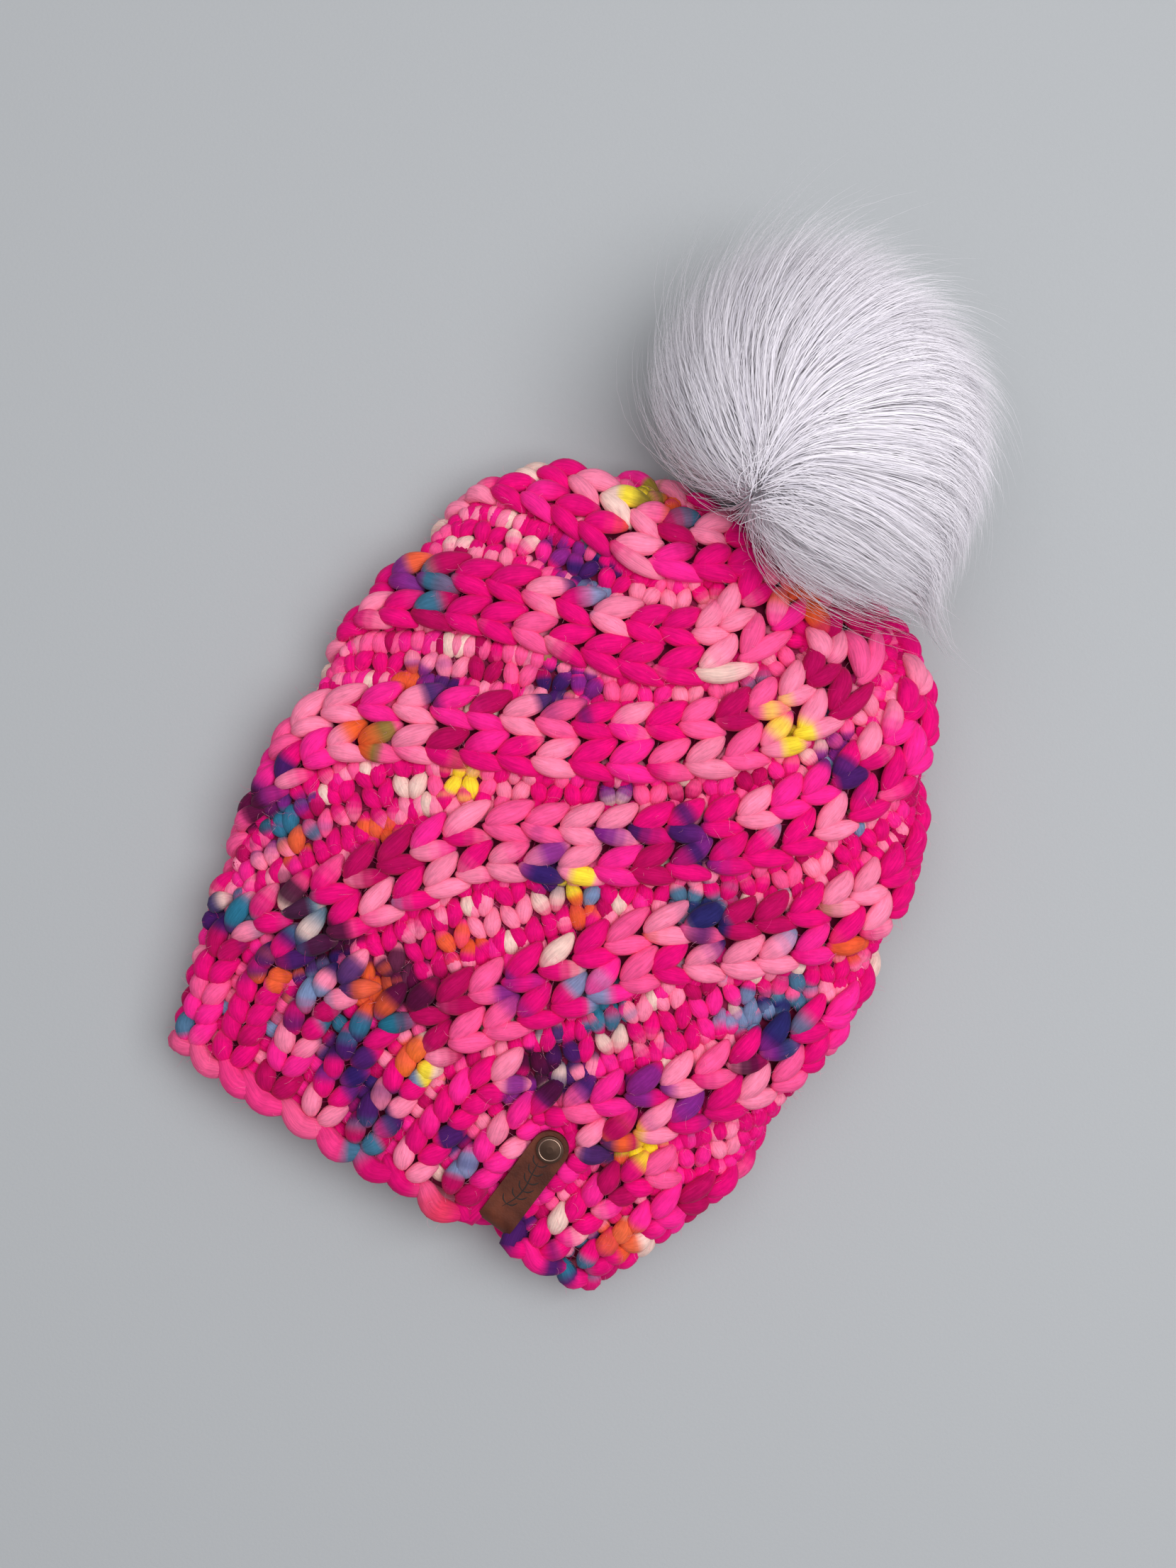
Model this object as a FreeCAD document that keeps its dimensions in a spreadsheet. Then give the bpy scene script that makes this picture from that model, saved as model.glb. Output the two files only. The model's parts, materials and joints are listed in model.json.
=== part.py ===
import FreeCAD, Part
import os

import Sketcher

# Knitted bobble hat, lying on its back: a thick spiral-ribbed knit bag that narrows to a gathered
# crown, a fur pom pom that snaps onto the crown, and a leather tag folded round the brim's edge and
# held by a rivet.  Millimetres.  The hat's own frame has Y = 0 at the brim's edge, +Y towards the
# crown, +X to the right seen from above and +Z up from the surface it lies on.  Each sub-part is placed
# with its Placement so that the whole hat's box has its bottom centre at the origin.

V = FreeCAD.Vector
Z_AXIS = V(0, 0, 1)
TINY = 1e-9
START, END, CENTRE = 1, 2, 3

doc = FreeCAD.newDocument("PomPomBeanie")

# ---------------------------------------------------------------- driving dimensions

# Knit bag, one row per cross-section from the brim's edge to the crown: distance from the edge,
# left and right sides, lowest point, thickness of the rounded sides, height of the crowned top.
# Most of them reach a little below the surface, and the underside is trimmed flat on it.
SECTIONS = {
    "mouth": (0, -91, 83, -0.3, 30, 36),
    "brim": (34, -98.5, 100, -0.3, 32, 40),
    "waist": (76, -108, 110, -0.3, 34, 44),
    "belly": (133, -112, 112, -0.3, 34, 46),
    "chest": (172, -108, 109, -0.3, 34, 46),
    "shoulder": (207, -102, 94.5, -0.3, 33, 44),
    "neck": (235, -82, 82.5, -0.3, 30, 40),
    "gather": (250, -60, 70, 4, 26, 35),
    "crown": (257, -31, 60, 9, 18, 30),
}
SECTION_FIELDS = ("along", "left", "right", "low", "side", "high")

size = {
    # where the hat's frame sits in the part's frame
    "edge_offset": -177.76,
    "knit_wall": 12,
    "mouth_overrun": 1,
    "table_depth": 5,
    "table_half_width": 130,
    "table_length": 260,
    # snap axis: its pivot in the gathered crown, its lift above the surface and its turn to the left
    "pivot_across": 10,
    "pivot_along": 255,
    "pivot_height": 23.8,
    "snap_lift": 32,
    "snap_turn": 15.8,
    # gathered crown and the yarn that draws it shut
    "gather_bore": 7.2,
    "bore_inward": 16,
    "bore_length": 26,
    "dimple_radius": 9.5,
    "dimple_rim": 79.5,
    "dimple_start": 0.3,
    "dimple_depth": 14,
    "yarn_ring": 4.6,
    "yarn_radius": 2.3,
    # thread shank, as distances from the pivot along the snap axis
    "knot_far": -9,
    "knot_near": -5,
    "knot_waist": -3.6,
    "knot_radius": 3,
    "shank_radius": 1.3,
    "shank_end": 4.7,
    # sew-on snap
    "snap_radius": 7.5,
    "sew_circle": 6.3,
    "sew_hole": 0.8,
    "socket_base": 5,
    "socket_floor": 5.8,
    "socket_roof": 7.7,
    "socket_top": 8.2,
    "socket_well": 4.2,
    "socket_cup": 5.2,
    "socket_mouth": 2.45,
    "spring_ring": 2.95,
    "spring_wire": 0.4,
    "spring_height": 6.95,
    "spring_sweep": 325,
    "head_tip": 5.95,
    "head_shoulder": 6.2,
    "head_back": 6.6,
    "neck_start": 6.9,
    "head_radius": 2.3,
    "head_flat": 1.9,
    "stud_neck": 1.8,
    "stud_under": 8.5,
    "stud_top": 9.3,
    "stitch_circle": 7.2,
    "stitch_height": 8.9,
    "stitch_ring": 1.05,
    "stitch_thread": 0.35,
    # pom pom, as distances from the pivot along the snap axis
    "felt_under": 10.4,
    "felt_top": 11.8,
    "felt_radius": 13.5,
    "felt_hole": 2,
    "draw_ring": 11.5,
    "draw_thread": 0.9,
    "draw_height": 12.8,
    "fur_base": 13.9,
    "fur_neck": 8,
    "fur_foot": 15,
    "fur_middle": 57,
    "fur_radius": 54,
    "flare_radius": 115,
    "flare_height": 100,
    "fill_middle": 46,
    "fill_radius": 29,
    "fill_gap": 0.3,
    # leather tag: a strip folded round the brim's edge, in its own frame
    "tag_across": 40.6,
    "tag_along": 8.9,
    "tag_height": 27.1,
    "tag_lean": -5.5,
    "tag_pitch": 7.5,
    "tag_width": 13,
    "tag_flap": 35.1,
    "leather": 1.8,
    "tag_gap": 9.4,
    "tag_half_gap": 4.7,
    "tag_half_width": 6.5,
    "web": 9,
    "channel_width": 14,
    "channel_length": 41,
    "channel_cut": 12,
    "back_cut": 4,
    "notch_length": 10,
    "notch_height": 24,
    "notch_drop": 8,
    # rivet through the tag
    "rivet_along": 28.9,
    "rivet_hole": 1.9,
    "rivet_bore": 2.1,
    "rivet_radius": 4.7,
    "rivet_rim": 1,
    "rivet_crown": 1.4,
    "rivet_tube": 1.75,
    "rivet_pin": 1.1,
    "rivet_pin_hole": 1.15,
    "rivet_foot": 1.2,
}
for row, values in SECTIONS.items():
    for field, value in zip(SECTION_FIELDS, values):
        size[f"{row}_{field}"] = value

sheet = doc.addObject("Spreadsheet::Sheet", "Sizes")
for number, (alias, value) in enumerate(size.items(), start=1):
    sheet.set(f"A{number}", alias)
    sheet.set(f"B{number}", str(value))
    sheet.setAlias(f"B{number}", alias)
doc.recompute()


def dim(text):
    """A sum of cells, written as 'knit_wall + leather': its expression and its value."""
    value = 0.0
    sign = 1.0
    words = []
    for word in text.split():
        if word in "+-":
            sign = -1.0 if word == "-" else 1.0
        else:
            value += sign * (size[word] if word in size else float(word))
        words.append(f"Sizes.{word}" if word in size else word)
    return " ".join(words), value


def bind(thing, **expressions):
    """Set properties of an object from sums of cells."""
    for name, text in expressions.items():
        thing.setExpression(name.replace("__", "."), dim(text)[0])


# ---------------------------------------------------------------- sketch and solid helpers

def origin_plane(body, role):
    """One of the body's own origin planes."""
    return next(f for f in body.Origin.OriginFeatures if f.Role == role)


def new_sketch(body, name, role):
    """A sketch on one of the body's origin planes."""
    sketch = body.newObject("Sketcher::SketchObject", name)
    sketch.AttachmentSupport = [(origin_plane(body, role), "")]
    sketch.MapMode = "FlatFace"
    return sketch


def outline(body, name, role, corners, arcs=None):
    """A closed sketch through corners, each a pair of sums of cells.

    arcs gives, by the number of the corner that an arc starts at, which coordinate of its centre
    is set, that coordinate as a sum of cells, and the side of the chord that it bulges to.
    """
    arcs = arcs or {}
    sketch = new_sketch(body, name, role)
    points = [V(dim(across)[1], dim(up)[1], 0) for across, up in corners]
    count = len(points)
    for i, start in enumerate(points):
        end = points[(i + 1) % count]
        if i in arcs:
            kind, text, side = arcs[i]
            along = (end - start).normalize()
            bulge = V(-along.y, along.x, 0) * (1 if side == "left" else -1)
            middle = (start + end) * 0.5
            if kind == "DistanceX":
                centre = middle + bulge * ((dim(text)[1] - middle.x) / bulge.x)
            else:
                centre = middle + bulge * ((dim(text)[1] - middle.y) / bulge.y)
            sketch.addGeometry(Part.Arc(start, centre + bulge * (start - centre).Length, end), False)
        else:
            sketch.addGeometry(Part.LineSegment(start, end), False)

    def end_at(edge, point):
        first = sketch.getPoint(edge, 1)
        return 1 if (first - point).Length < (sketch.getPoint(edge, 2) - point).Length else 2

    def place(kind, edge, point_number, text):
        """Set one coordinate of a point, or put it on the sketch's axis where that is zero."""
        expression, value = dim(text)
        if abs(value) < TINY:
            axis = -2 if kind == "DistanceX" else -1
            sketch.addConstraint(Sketcher.Constraint("PointOnObject", edge, point_number, axis))
            return
        index = sketch.addConstraint(Sketcher.Constraint(kind, -1, 1, edge, point_number, value))
        sketch.setExpression(f"Constraints[{index}]", expression)

    for i, corner in enumerate(points):
        before = (i - 1) % count
        joint = ("Coincident", before, end_at(before, corner), i, end_at(i, corner))
        sketch.addConstraint(Sketcher.Constraint(*joint))
    for i, (across, up) in enumerate(corners):
        place("DistanceX", i, end_at(i, points[i]), across)
        place("DistanceY", i, end_at(i, points[i]), up)
    for i, (kind, text, _) in arcs.items():
        place(kind, i, CENTRE, text)
    return sketch


def turned(body, name, corners, arcs=None):
    """A solid of revolution about the body's Z axis; corners are (radius, height)."""
    sketch = outline(body, name + "Profile", "XZ_Plane", corners, arcs)
    solid = body.newObject("PartDesign::Revolution", name)
    solid.Profile = sketch
    solid.ReferenceAxis = (sketch, ["V_Axis"])
    solid.Angle = 360
    return solid


def sew_holes(body, name, far):
    """Four small holes round a snap's flange, cut from Z = 0 up to far."""
    sketch = new_sketch(body, name + "Circle", "XY_Plane")
    sketch.addGeometry(Part.Circle(V(size["sew_circle"], 0, 0), Z_AXIS, size["sew_hole"]), False)
    sketch.addConstraint(Sketcher.Constraint("PointOnObject", 0, 3, -1))
    across = sketch.addConstraint(Sketcher.Constraint("DistanceX", -1, 1, 0, 3, size["sew_circle"]))
    radius = sketch.addConstraint(Sketcher.Constraint("Radius", 0, size["sew_hole"]))
    sketch.setExpression(f"Constraints[{across}]", "Sizes.sew_circle")
    sketch.setExpression(f"Constraints[{radius}]", "Sizes.sew_hole")
    doc.recompute()
    hole = body.newObject("PartDesign::Pocket", name)
    hole.Profile = sketch
    hole.Reversed = True
    bind(hole, Length=far)
    doc.recompute()
    holes = body.newObject("PartDesign::PolarPattern", name + "Pattern")
    holes.Originals = [hole]
    holes.Axis = (sketch, ["N_Axis"])
    holes.Angle = 360
    holes.Occurrences = 4
    body.Tip = holes


def primitive(kind, name, **expressions):
    """A Part primitive with its sizes bound to sums of cells."""
    solid = doc.addObject(kind, name)
    bind(solid, **expressions)
    return solid


def cylinder(name, radius, start, length):
    """A cylinder on the Z axis from the height start."""
    return primitive("Part::Cylinder", name, Radius=radius, Height=length, Placement__Base__z=start)


def ring_of(name, ring, wire):
    """A ring of wire, thread or yarn about the Z axis."""
    return primitive("Part::Torus", name, Radius1=ring, Radius2=wire)


def raised(place, height):
    """A place moved along its own Z axis."""
    return place.multiply(FreeCAD.Placement(V(0, 0, height), FreeCAD.Rotation()))


# Places that the sub-parts share, in the part's frame.
edge_place = FreeCAD.Placement(V(0, size["edge_offset"], 0), FreeCAD.Rotation())
snap_turn = FreeCAD.Rotation(Z_AXIS, size["snap_turn"])
snap_tip = FreeCAD.Rotation(V(1, 0, 0), size["snap_lift"] - 90)
pivot = V(size["pivot_across"], size["pivot_along"] + size["edge_offset"], size["pivot_height"])
snap_place = FreeCAD.Placement(pivot, snap_turn * snap_tip)
tag_turn = FreeCAD.Rotation(Z_AXIS, size["tag_lean"]) * FreeCAD.Rotation(V(1, 0, 0), size["tag_pitch"])
tag_spot = V(size["tag_across"], size["tag_along"] + size["edge_offset"], size["tag_height"])
tag_place = FreeCAD.Placement(tag_spot, tag_turn)

parts = {}


def finish_part(thing, name, place):
    """Name a sub-part and put it in its place on the hat."""
    thing.Label = name
    thing.Placement = place
    parts[name] = thing


# ---------------------------------------------------------------- the knit bag

def bag_section(body, name, row, inset, overrun):
    """A cross-section of the bag, or of the space inside it when it is inset by the knit's wall."""
    sketch = new_sketch(body, name, "XZ_Plane")
    sketch.setExpression("AttachmentOffset.Base.z", f"-(Sizes.{row}_along - {overrun})")
    wall = size["knit_wall"] if inset else 0.0
    inset_text = "Sizes.knit_wall" if inset else "0"
    left, right, low, side, high = (size[f"{row}_{field}"] for field in SECTION_FIELDS[1:])
    left, right, low, side, high = left + wall, right - wall, low + wall, side - 2 * wall, high - wall
    bend = side / 2
    rise = high - low - side
    half = (right - left) / 2 - bend
    top_radius = (half * half + rise * rise) / (2 * rise)
    floor_left, floor_right = V(left + bend, low, 0), V(right - bend, low, 0)
    roof_left, roof_right = V(left + bend, low + side, 0), V(right - bend, low + side, 0)
    middle = V((left + right) / 2, high, 0)
    for curve in (
        Part.LineSegment(floor_left, floor_right),
        Part.Arc(floor_right, V(right, low + bend, 0), roof_right),
        Part.Arc(roof_right, middle, roof_left),
        Part.Arc(roof_left, V(left, low + bend, 0), floor_left),
    ):
        sketch.addGeometry(curve, False)
    floor, right_end, roof, left_end = range(4)
    for constraint in (
        ("Coincident", floor, END, right_end, START),
        ("Coincident", right_end, END, roof, START),
        ("Coincident", roof, END, left_end, START),
        ("Coincident", left_end, END, floor, START),
        ("Horizontal", floor),
        ("Vertical", right_end, START, right_end, END),
        ("Vertical", right_end, START, right_end, CENTRE),
        ("Vertical", left_end, START, left_end, END),
        ("Vertical", left_end, START, left_end, CENTRE),
    ):
        sketch.addConstraint(Sketcher.Constraint(*constraint))
    bend_text = f"(Sizes.{row}_side / 2 - {inset_text})"
    rise_text = f"(Sizes.{row}_high - Sizes.{row}_low - Sizes.{row}_side)"
    half_text = f"((Sizes.{row}_right - Sizes.{row}_left) / 2 - Sizes.{row}_side / 2)"
    for constraint, expression in (
        (("DistanceX", -1, 1, floor, START, floor_left.x), f"Sizes.{row}_left + Sizes.{row}_side / 2"),
        (("DistanceX", -1, 1, floor, END, floor_right.x), f"Sizes.{row}_right - Sizes.{row}_side / 2"),
        (("DistanceY", -1, 1, floor, START, low), f"Sizes.{row}_low + {inset_text}"),
        (("Radius", right_end, bend), bend_text),
        (("Radius", roof, top_radius), f"({half_text} ^ 2 + {rise_text} ^ 2) / (2 * {rise_text})"),
    ):
        index = sketch.addConstraint(Sketcher.Constraint(*constraint))
        sketch.setExpression(f"Constraints[{index}]", expression)
    sketch.addConstraint(Sketcher.Constraint("Equal", right_end, left_end))
    return sketch


def loft(body, kind, name, sketches):
    """A loft through cross-sections, straight from each to the next."""
    solid = body.newObject(kind, name)
    solid.Ruled = True
    solid.Profile = sketches[0]
    solid.Sections = sketches[1:]
    return solid


def make_knit_shell():
    """The bag: an open, flattened tube of thick knit that closes at the crown."""
    body = doc.addObject("PartDesign::Body", "KnitBag")
    outer = [bag_section(body, f"Outer{row.title()}", row, False, "0") for row in SECTIONS]
    doc.recompute()
    loft(body, "PartDesign::AdditiveLoft", "BagOutside", outer)
    doc.recompute()
    inner = []
    for row in SECTIONS:
        if row in ("gather", "crown"):
            continue
        overrun = "Sizes.mouth_overrun" if row == "mouth" else "0"
        inner.append(bag_section(body, f"Inner{row.title()}", row, True, overrun))
    doc.recompute()
    loft(body, "PartDesign::SubtractiveLoft", "BagInside", inner)

    # the hole that the drawn-up stitches leave in the crown, and the dimple round it
    snap_local = FreeCAD.Placement(pivot - edge_place.Base, snap_place.Rotation)
    bore = primitive("Part::Cylinder", "GatherBore", Radius="gather_bore", Height="bore_length")
    bore.Placement = raised(snap_local, -size["bore_inward"])
    dimple = primitive("Part::Cone", "GatherDimple", Radius1="dimple_radius", Radius2="dimple_rim")
    bind(dimple, Height="dimple_depth")
    dimple.Placement = raised(snap_local, size["dimple_start"])

    # the surface that the hat lies on trims its underside flat
    table = primitive(
        "Part::Box", "TableTop", Length="table_half_width + table_half_width",
        Width="table_length", Height="table_depth",
    )
    table.Placement = FreeCAD.Placement(
        V(-size["table_half_width"], -size["mouth_overrun"], -size["table_depth"]), FreeCAD.Rotation()
    )

    # where the tag presses the brim thin, front and inside, and pinches its edge
    tag_local = FreeCAD.Placement(tag_spot - edge_place.Base, tag_turn)
    cutters = [bore, dimple, table]
    for name, length, height, corner in (
        ("TagChannel", "channel_length", "channel_cut", (-size["tag_gap"] / 2, size["web"] / 2)),
        ("TagInside", "channel_length", "back_cut", (-size["tag_gap"] / 2, -size["web"] / 2 - size["back_cut"])),
        ("TagNotch", "notch_length", "notch_height", (-size["notch_length"], -size["notch_drop"])),
    ):
        box = primitive("Part::Box", name, Width=length, Height=height, Length="channel_width")
        back, low = corner
        box.Placement = tag_local.multiply(
            FreeCAD.Placement(V(-size["channel_width"] / 2, back, low), FreeCAD.Rotation())
        )
        cutters.append(box)
    hole = primitive("Part::Cylinder", "KnitRivetHole", Radius="rivet_bore", Height="tag_gap")
    hole.Placement = tag_local.multiply(
        FreeCAD.Placement(V(0, size["rivet_along"], -size["tag_gap"] / 2), FreeCAD.Rotation())
    )
    cutters.append(hole)

    tools = doc.addObject("Part::MultiFuse", "KnitCutters")
    tools.Shapes = cutters
    shell = doc.addObject("Part::Cut", "KnitShell")
    shell.Base = body
    shell.Tool = tools
    finish_part(shell, "knit_shell", edge_place)


def make_crown_drawstring():
    """The yarn tail drawn through the last stitches, a ring that holds the crown shut."""
    ring = ring_of("CrownDrawstring", "yarn_ring", "yarn_radius")
    finish_part(ring, "crown_drawstring", snap_place)


# ---------------------------------------------------------------- snap and its thread shank

def make_socket_thread():
    """The thread shank that the snap's socket stands on, knotted inside the crown."""
    body = doc.addObject("PartDesign::Body", "SocketThread")
    turned(
        body,
        "Shank",
        [
            ("0", "knot_far"),
            ("knot_radius", "knot_far"),
            ("knot_radius", "knot_near"),
            ("shank_radius", "knot_waist"),
            ("shank_radius", "shank_end"),
            ("0", "shank_end"),
        ],
    )
    finish_part(body, "socket_thread", snap_place)


def make_snap_socket():
    """The socket half: a sewn flange with a cup whose lip keeps the ring spring in."""
    body = doc.addObject("PartDesign::Body", "SnapSocket")
    turned(
        body,
        "Socket",
        [
            ("0", "socket_base"),
            ("snap_radius", "socket_base"),
            ("snap_radius", "socket_floor"),
            ("socket_cup", "socket_floor"),
            ("socket_cup", "socket_top"),
            ("socket_mouth", "socket_top"),
            ("socket_mouth", "socket_roof"),
            ("socket_well", "socket_roof"),
            ("socket_well", "socket_floor"),
            ("0", "socket_floor"),
        ],
    )
    sew_holes(body, "SocketSewHole", "socket_top")
    finish_part(body, "snap_socket", snap_place)


def make_snap_spring():
    """The split ring of wire inside the socket that grips the stud's neck."""
    spring = ring_of("SnapSpring", "spring_ring", "spring_wire")
    bind(spring, Angle3="spring_sweep")
    finish_part(spring, "snap_spring", raised(snap_place, size["spring_height"]))


def make_snap_stud():
    """The stud half: a sewn flange with a round-headed stud that faces the socket."""
    body = doc.addObject("PartDesign::Body", "SnapStud")
    turned(
        body,
        "Stud",
        [
            ("0", "head_tip"),
            ("head_flat", "head_tip"),
            ("head_radius", "head_shoulder"),
            ("head_radius", "head_back"),
            ("stud_neck", "neck_start"),
            ("stud_neck", "stud_under"),
            ("snap_radius", "stud_under"),
            ("snap_radius", "stud_top"),
            ("0", "stud_top"),
        ],
    )
    sew_holes(body, "StudSewHole", "stud_top")
    finish_part(body, "snap_stud", snap_place)


def make_stud_thread():
    """The four stitches that hold the stud: each goes through a sew hole and round the rim."""
    stitches = []
    for quarter in range(4):
        stitch = ring_of(f"StudStitch{quarter}", "stitch_ring", "stitch_thread")
        turn = FreeCAD.Rotation(Z_AXIS, 90 * quarter)
        spot = turn.multVec(V(size["stitch_circle"], 0, size["stitch_height"]))
        stitch.Placement = FreeCAD.Placement(spot, turn * FreeCAD.Rotation(V(1, 0, 0), 90))
        stitches.append(stitch)
    thread = doc.addObject("Part::Compound", "StudThread")
    thread.Links = stitches
    finish_part(thread, "stud_thread", snap_place)


# ---------------------------------------------------------------- pom pom

def make_pom_backing():
    """The felt disc that closes the pom pom's base."""
    body = doc.addObject("PartDesign::Body", "PomBacking")
    turned(
        body,
        "Felt",
        [
            ("felt_hole", "felt_under"),
            ("felt_radius", "felt_under"),
            ("felt_radius", "felt_top"),
            ("felt_hole", "felt_top"),
        ],
    )
    finish_part(body, "pom_backing", snap_place)


def make_pom_gather_thread():
    """The gathering thread that draws the fur's edge together over the backing."""
    ring = ring_of("PomGatherThread", "draw_ring", "draw_thread")
    finish_part(ring, "pom_gather_thread", raised(snap_place, size["draw_height"]))


def make_pom_fill():
    """The ball of stuffing inside the fur."""
    filling = primitive("Part::Sphere", "PomFill", Radius="fill_radius")
    finish_part(filling, "pom_fill", raised(snap_place, size["fill_middle"]))


def ball(name, radius, height):
    """A sphere on the Z axis."""
    solid = primitive("Part::Sphere", name, Radius=radius)
    bind(solid, Placement__Base__z=height)
    return solid


def make_pom_fur():
    """The fur: narrow at its gathered foot, flaring into a ball that rests beside the crown."""
    flare = primitive("Part::Cone", "FurFlare", Radius1="fur_foot", Radius2="flare_radius")
    bind(flare, Height="flare_height", Placement__Base__z="fur_base")
    outside = doc.addObject("Part::Common", "FurOutside")
    outside.Base = flare
    outside.Tool = ball("FurBall", "fur_radius", "fur_middle")
    inside = doc.addObject("Part::Fuse", "FurInside")
    inside.Base = ball("FurCavity", "fill_radius + fill_gap", "fill_middle")
    inside.Tool = cylinder("FurNeck", "fur_neck", "felt_top", "fill_middle - felt_top")
    fur = doc.addObject("Part::Cut", "PomFur")
    fur.Base = outside
    fur.Tool = inside
    finish_part(fur, "pom_fur", snap_place)


# ---------------------------------------------------------------- tag and rivet

def make_leather_tag():
    """A leather strip folded in a U round the brim's edge, round-ended, with the rivet's holes."""
    fold = doc.addObject("PartDesign::Body", "TagFold")
    profile = outline(
        fold,
        "TagProfile",
        "YZ_Plane",
        [
            ("tag_flap", "tag_half_gap"),
            ("tag_flap", "tag_half_gap + leather"),
            ("0", "tag_half_gap + leather"),
            ("0", "0 - tag_half_gap - leather"),
            ("tag_flap", "0 - tag_half_gap - leather"),
            ("tag_flap", "0 - tag_half_gap"),
            ("0", "0 - tag_half_gap"),
            ("0", "tag_half_gap"),
        ],
        {2: ("DistanceX", "0", "right"), 6: ("DistanceX", "0", "left")},
    )
    strip = fold.newObject("PartDesign::Pad", "TagStrip")
    strip.Profile = profile
    strip.Midplane = True
    bind(strip, Length="tag_width")

    plan = doc.addObject("PartDesign::Body", "TagPlan")
    half = "tag_half_width"
    shape = outline(
        plan,
        "TagOutline",
        "XY_Plane",
        [
            (f"0 - {half}", "0 - tag_gap"),
            (half, "0 - tag_gap"),
            (half, f"tag_flap - {half}"),
            (f"0 - {half}", f"tag_flap - {half}"),
        ],
        {2: ("DistanceY", f"tag_flap - {half}", "right")},
    )
    block = plan.newObject("PartDesign::Pad", "TagBlock")
    block.Profile = shape
    block.Midplane = True
    bind(block, Length="notch_height")

    rounded = doc.addObject("Part::Common", "TagRounded")
    rounded.Base = fold
    rounded.Tool = plan
    hole = cylinder("TagRivetHole", "rivet_hole", "0 - tag_gap", "tag_gap + tag_gap")
    hole.setExpression("Placement.Base.y", "Sizes.rivet_along")
    tag = doc.addObject("Part::Cut", "LeatherTag")
    tag.Base = rounded
    tag.Tool = hole
    finish_part(tag, "leather_tag", tag_place)


def make_rivet():
    """The rivet: a low domed cap with a tube in front, a flat foot with a pin behind."""
    cap = doc.addObject("PartDesign::Body", "RivetCap")
    turned(
        cap,
        "Cap",
        [
            ("rivet_pin_hole", "0 - tag_half_gap"),
            ("rivet_tube", "0 - tag_half_gap"),
            ("rivet_tube", "tag_half_gap + leather"),
            ("rivet_radius", "tag_half_gap + leather"),
            ("rivet_radius", "tag_half_gap + leather + rivet_rim"),
            ("rivet_pin_hole", "tag_half_gap + leather + rivet_crown"),
            ("0", "tag_half_gap + leather + rivet_crown"),
            ("0", "tag_half_gap + leather"),
            ("rivet_pin_hole", "tag_half_gap + leather"),
        ],
    )
    foot = doc.addObject("PartDesign::Body", "RivetPost")
    turned(
        foot,
        "Post",
        [
            ("0", "0 - tag_half_gap - leather - rivet_foot"),
            ("rivet_radius", "0 - tag_half_gap - leather - rivet_foot"),
            ("rivet_radius", "0 - tag_half_gap - leather"),
            ("rivet_pin", "0 - tag_half_gap - leather"),
            ("rivet_pin", "tag_half_gap"),
            ("0", "tag_half_gap"),
        ],
    )
    spot = tag_place.multiply(FreeCAD.Placement(V(0, size["rivet_along"], 0), FreeCAD.Rotation()))
    finish_part(cap, "rivet_cap", spot)
    finish_part(foot, "rivet_post", spot)


make_knit_shell()
make_crown_drawstring()
make_socket_thread()
make_snap_socket()
make_snap_spring()
make_snap_stud()
make_stud_thread()
make_pom_backing()
make_pom_gather_thread()
make_pom_fill()
make_pom_fur()
make_leather_tag()
make_rivet()
doc.recompute()

# ---------------------------------------------------------------- checks and files

for thing in doc.Objects:
    if "Invalid" in thing.State or "Error" in thing.State:
        raise RuntimeError(f"{thing.Name} did not rebuild: {thing.State}")
for name, thing in parts.items():
    if thing.Shape.isNull() or not thing.Shape.isValid():
        raise RuntimeError(f"{name} has no valid shape")

whole = FreeCAD.BoundBox()
for name, thing in parts.items():
    box = thing.Shape.optimalBoundingBox(False)
    whole.add(box)
    print(f"{name:20s} {thing.Shape.Volume:12.1f} mm3  {box}")
print("whole hat", whole)

os.makedirs("parts", exist_ok=True)
for name, thing in parts.items():
    thing.Shape.exportStep(f"parts/{name}.step")
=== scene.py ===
import json
import math

import bpy
import numpy as np
from mathutils import Matrix, Vector


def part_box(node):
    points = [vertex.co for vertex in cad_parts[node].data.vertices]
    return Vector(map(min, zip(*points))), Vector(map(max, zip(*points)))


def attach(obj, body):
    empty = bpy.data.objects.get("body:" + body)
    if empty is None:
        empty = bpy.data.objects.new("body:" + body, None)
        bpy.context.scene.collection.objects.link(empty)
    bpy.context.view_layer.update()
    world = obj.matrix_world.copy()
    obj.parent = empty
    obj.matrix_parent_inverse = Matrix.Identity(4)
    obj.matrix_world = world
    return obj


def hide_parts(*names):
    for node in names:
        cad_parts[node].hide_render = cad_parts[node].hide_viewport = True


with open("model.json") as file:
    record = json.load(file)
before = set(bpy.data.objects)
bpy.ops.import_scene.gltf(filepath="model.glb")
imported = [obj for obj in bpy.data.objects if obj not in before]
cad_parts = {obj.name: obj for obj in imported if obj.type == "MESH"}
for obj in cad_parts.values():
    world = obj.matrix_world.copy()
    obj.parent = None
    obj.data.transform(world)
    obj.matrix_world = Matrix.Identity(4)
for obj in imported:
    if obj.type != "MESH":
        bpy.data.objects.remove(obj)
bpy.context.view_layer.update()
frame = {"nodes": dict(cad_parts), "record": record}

# Pom pom beanie: every stitch of the knitted bag, the fur of the pom pom and the leather tag, built
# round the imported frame.  The knit is worked out in millimetres in the hat's own frame (x across,
# y from the brim's edge towards the crown, z up from the surface) and scaled to metres at the end.

MM = 0.001
rng = np.random.default_rng(20)

knit_low, knit_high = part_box("knit_shell")
HAT_ORIGIN = np.array([(knit_low.x + knit_high.x) / 2, knit_low.y, knit_low.z]) / MM
FLOOR_GAP = 0.25


# ---------------------------------------------------------------- small helpers

def smoothstep(x, low, high):
    t = np.clip((x - low) / (high - low), 0, 1)
    return t * t * (3 - 2 * t)


def unit(v):
    return v / np.maximum(np.linalg.norm(v, axis=-1, keepdims=True), 1e-9)


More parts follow.
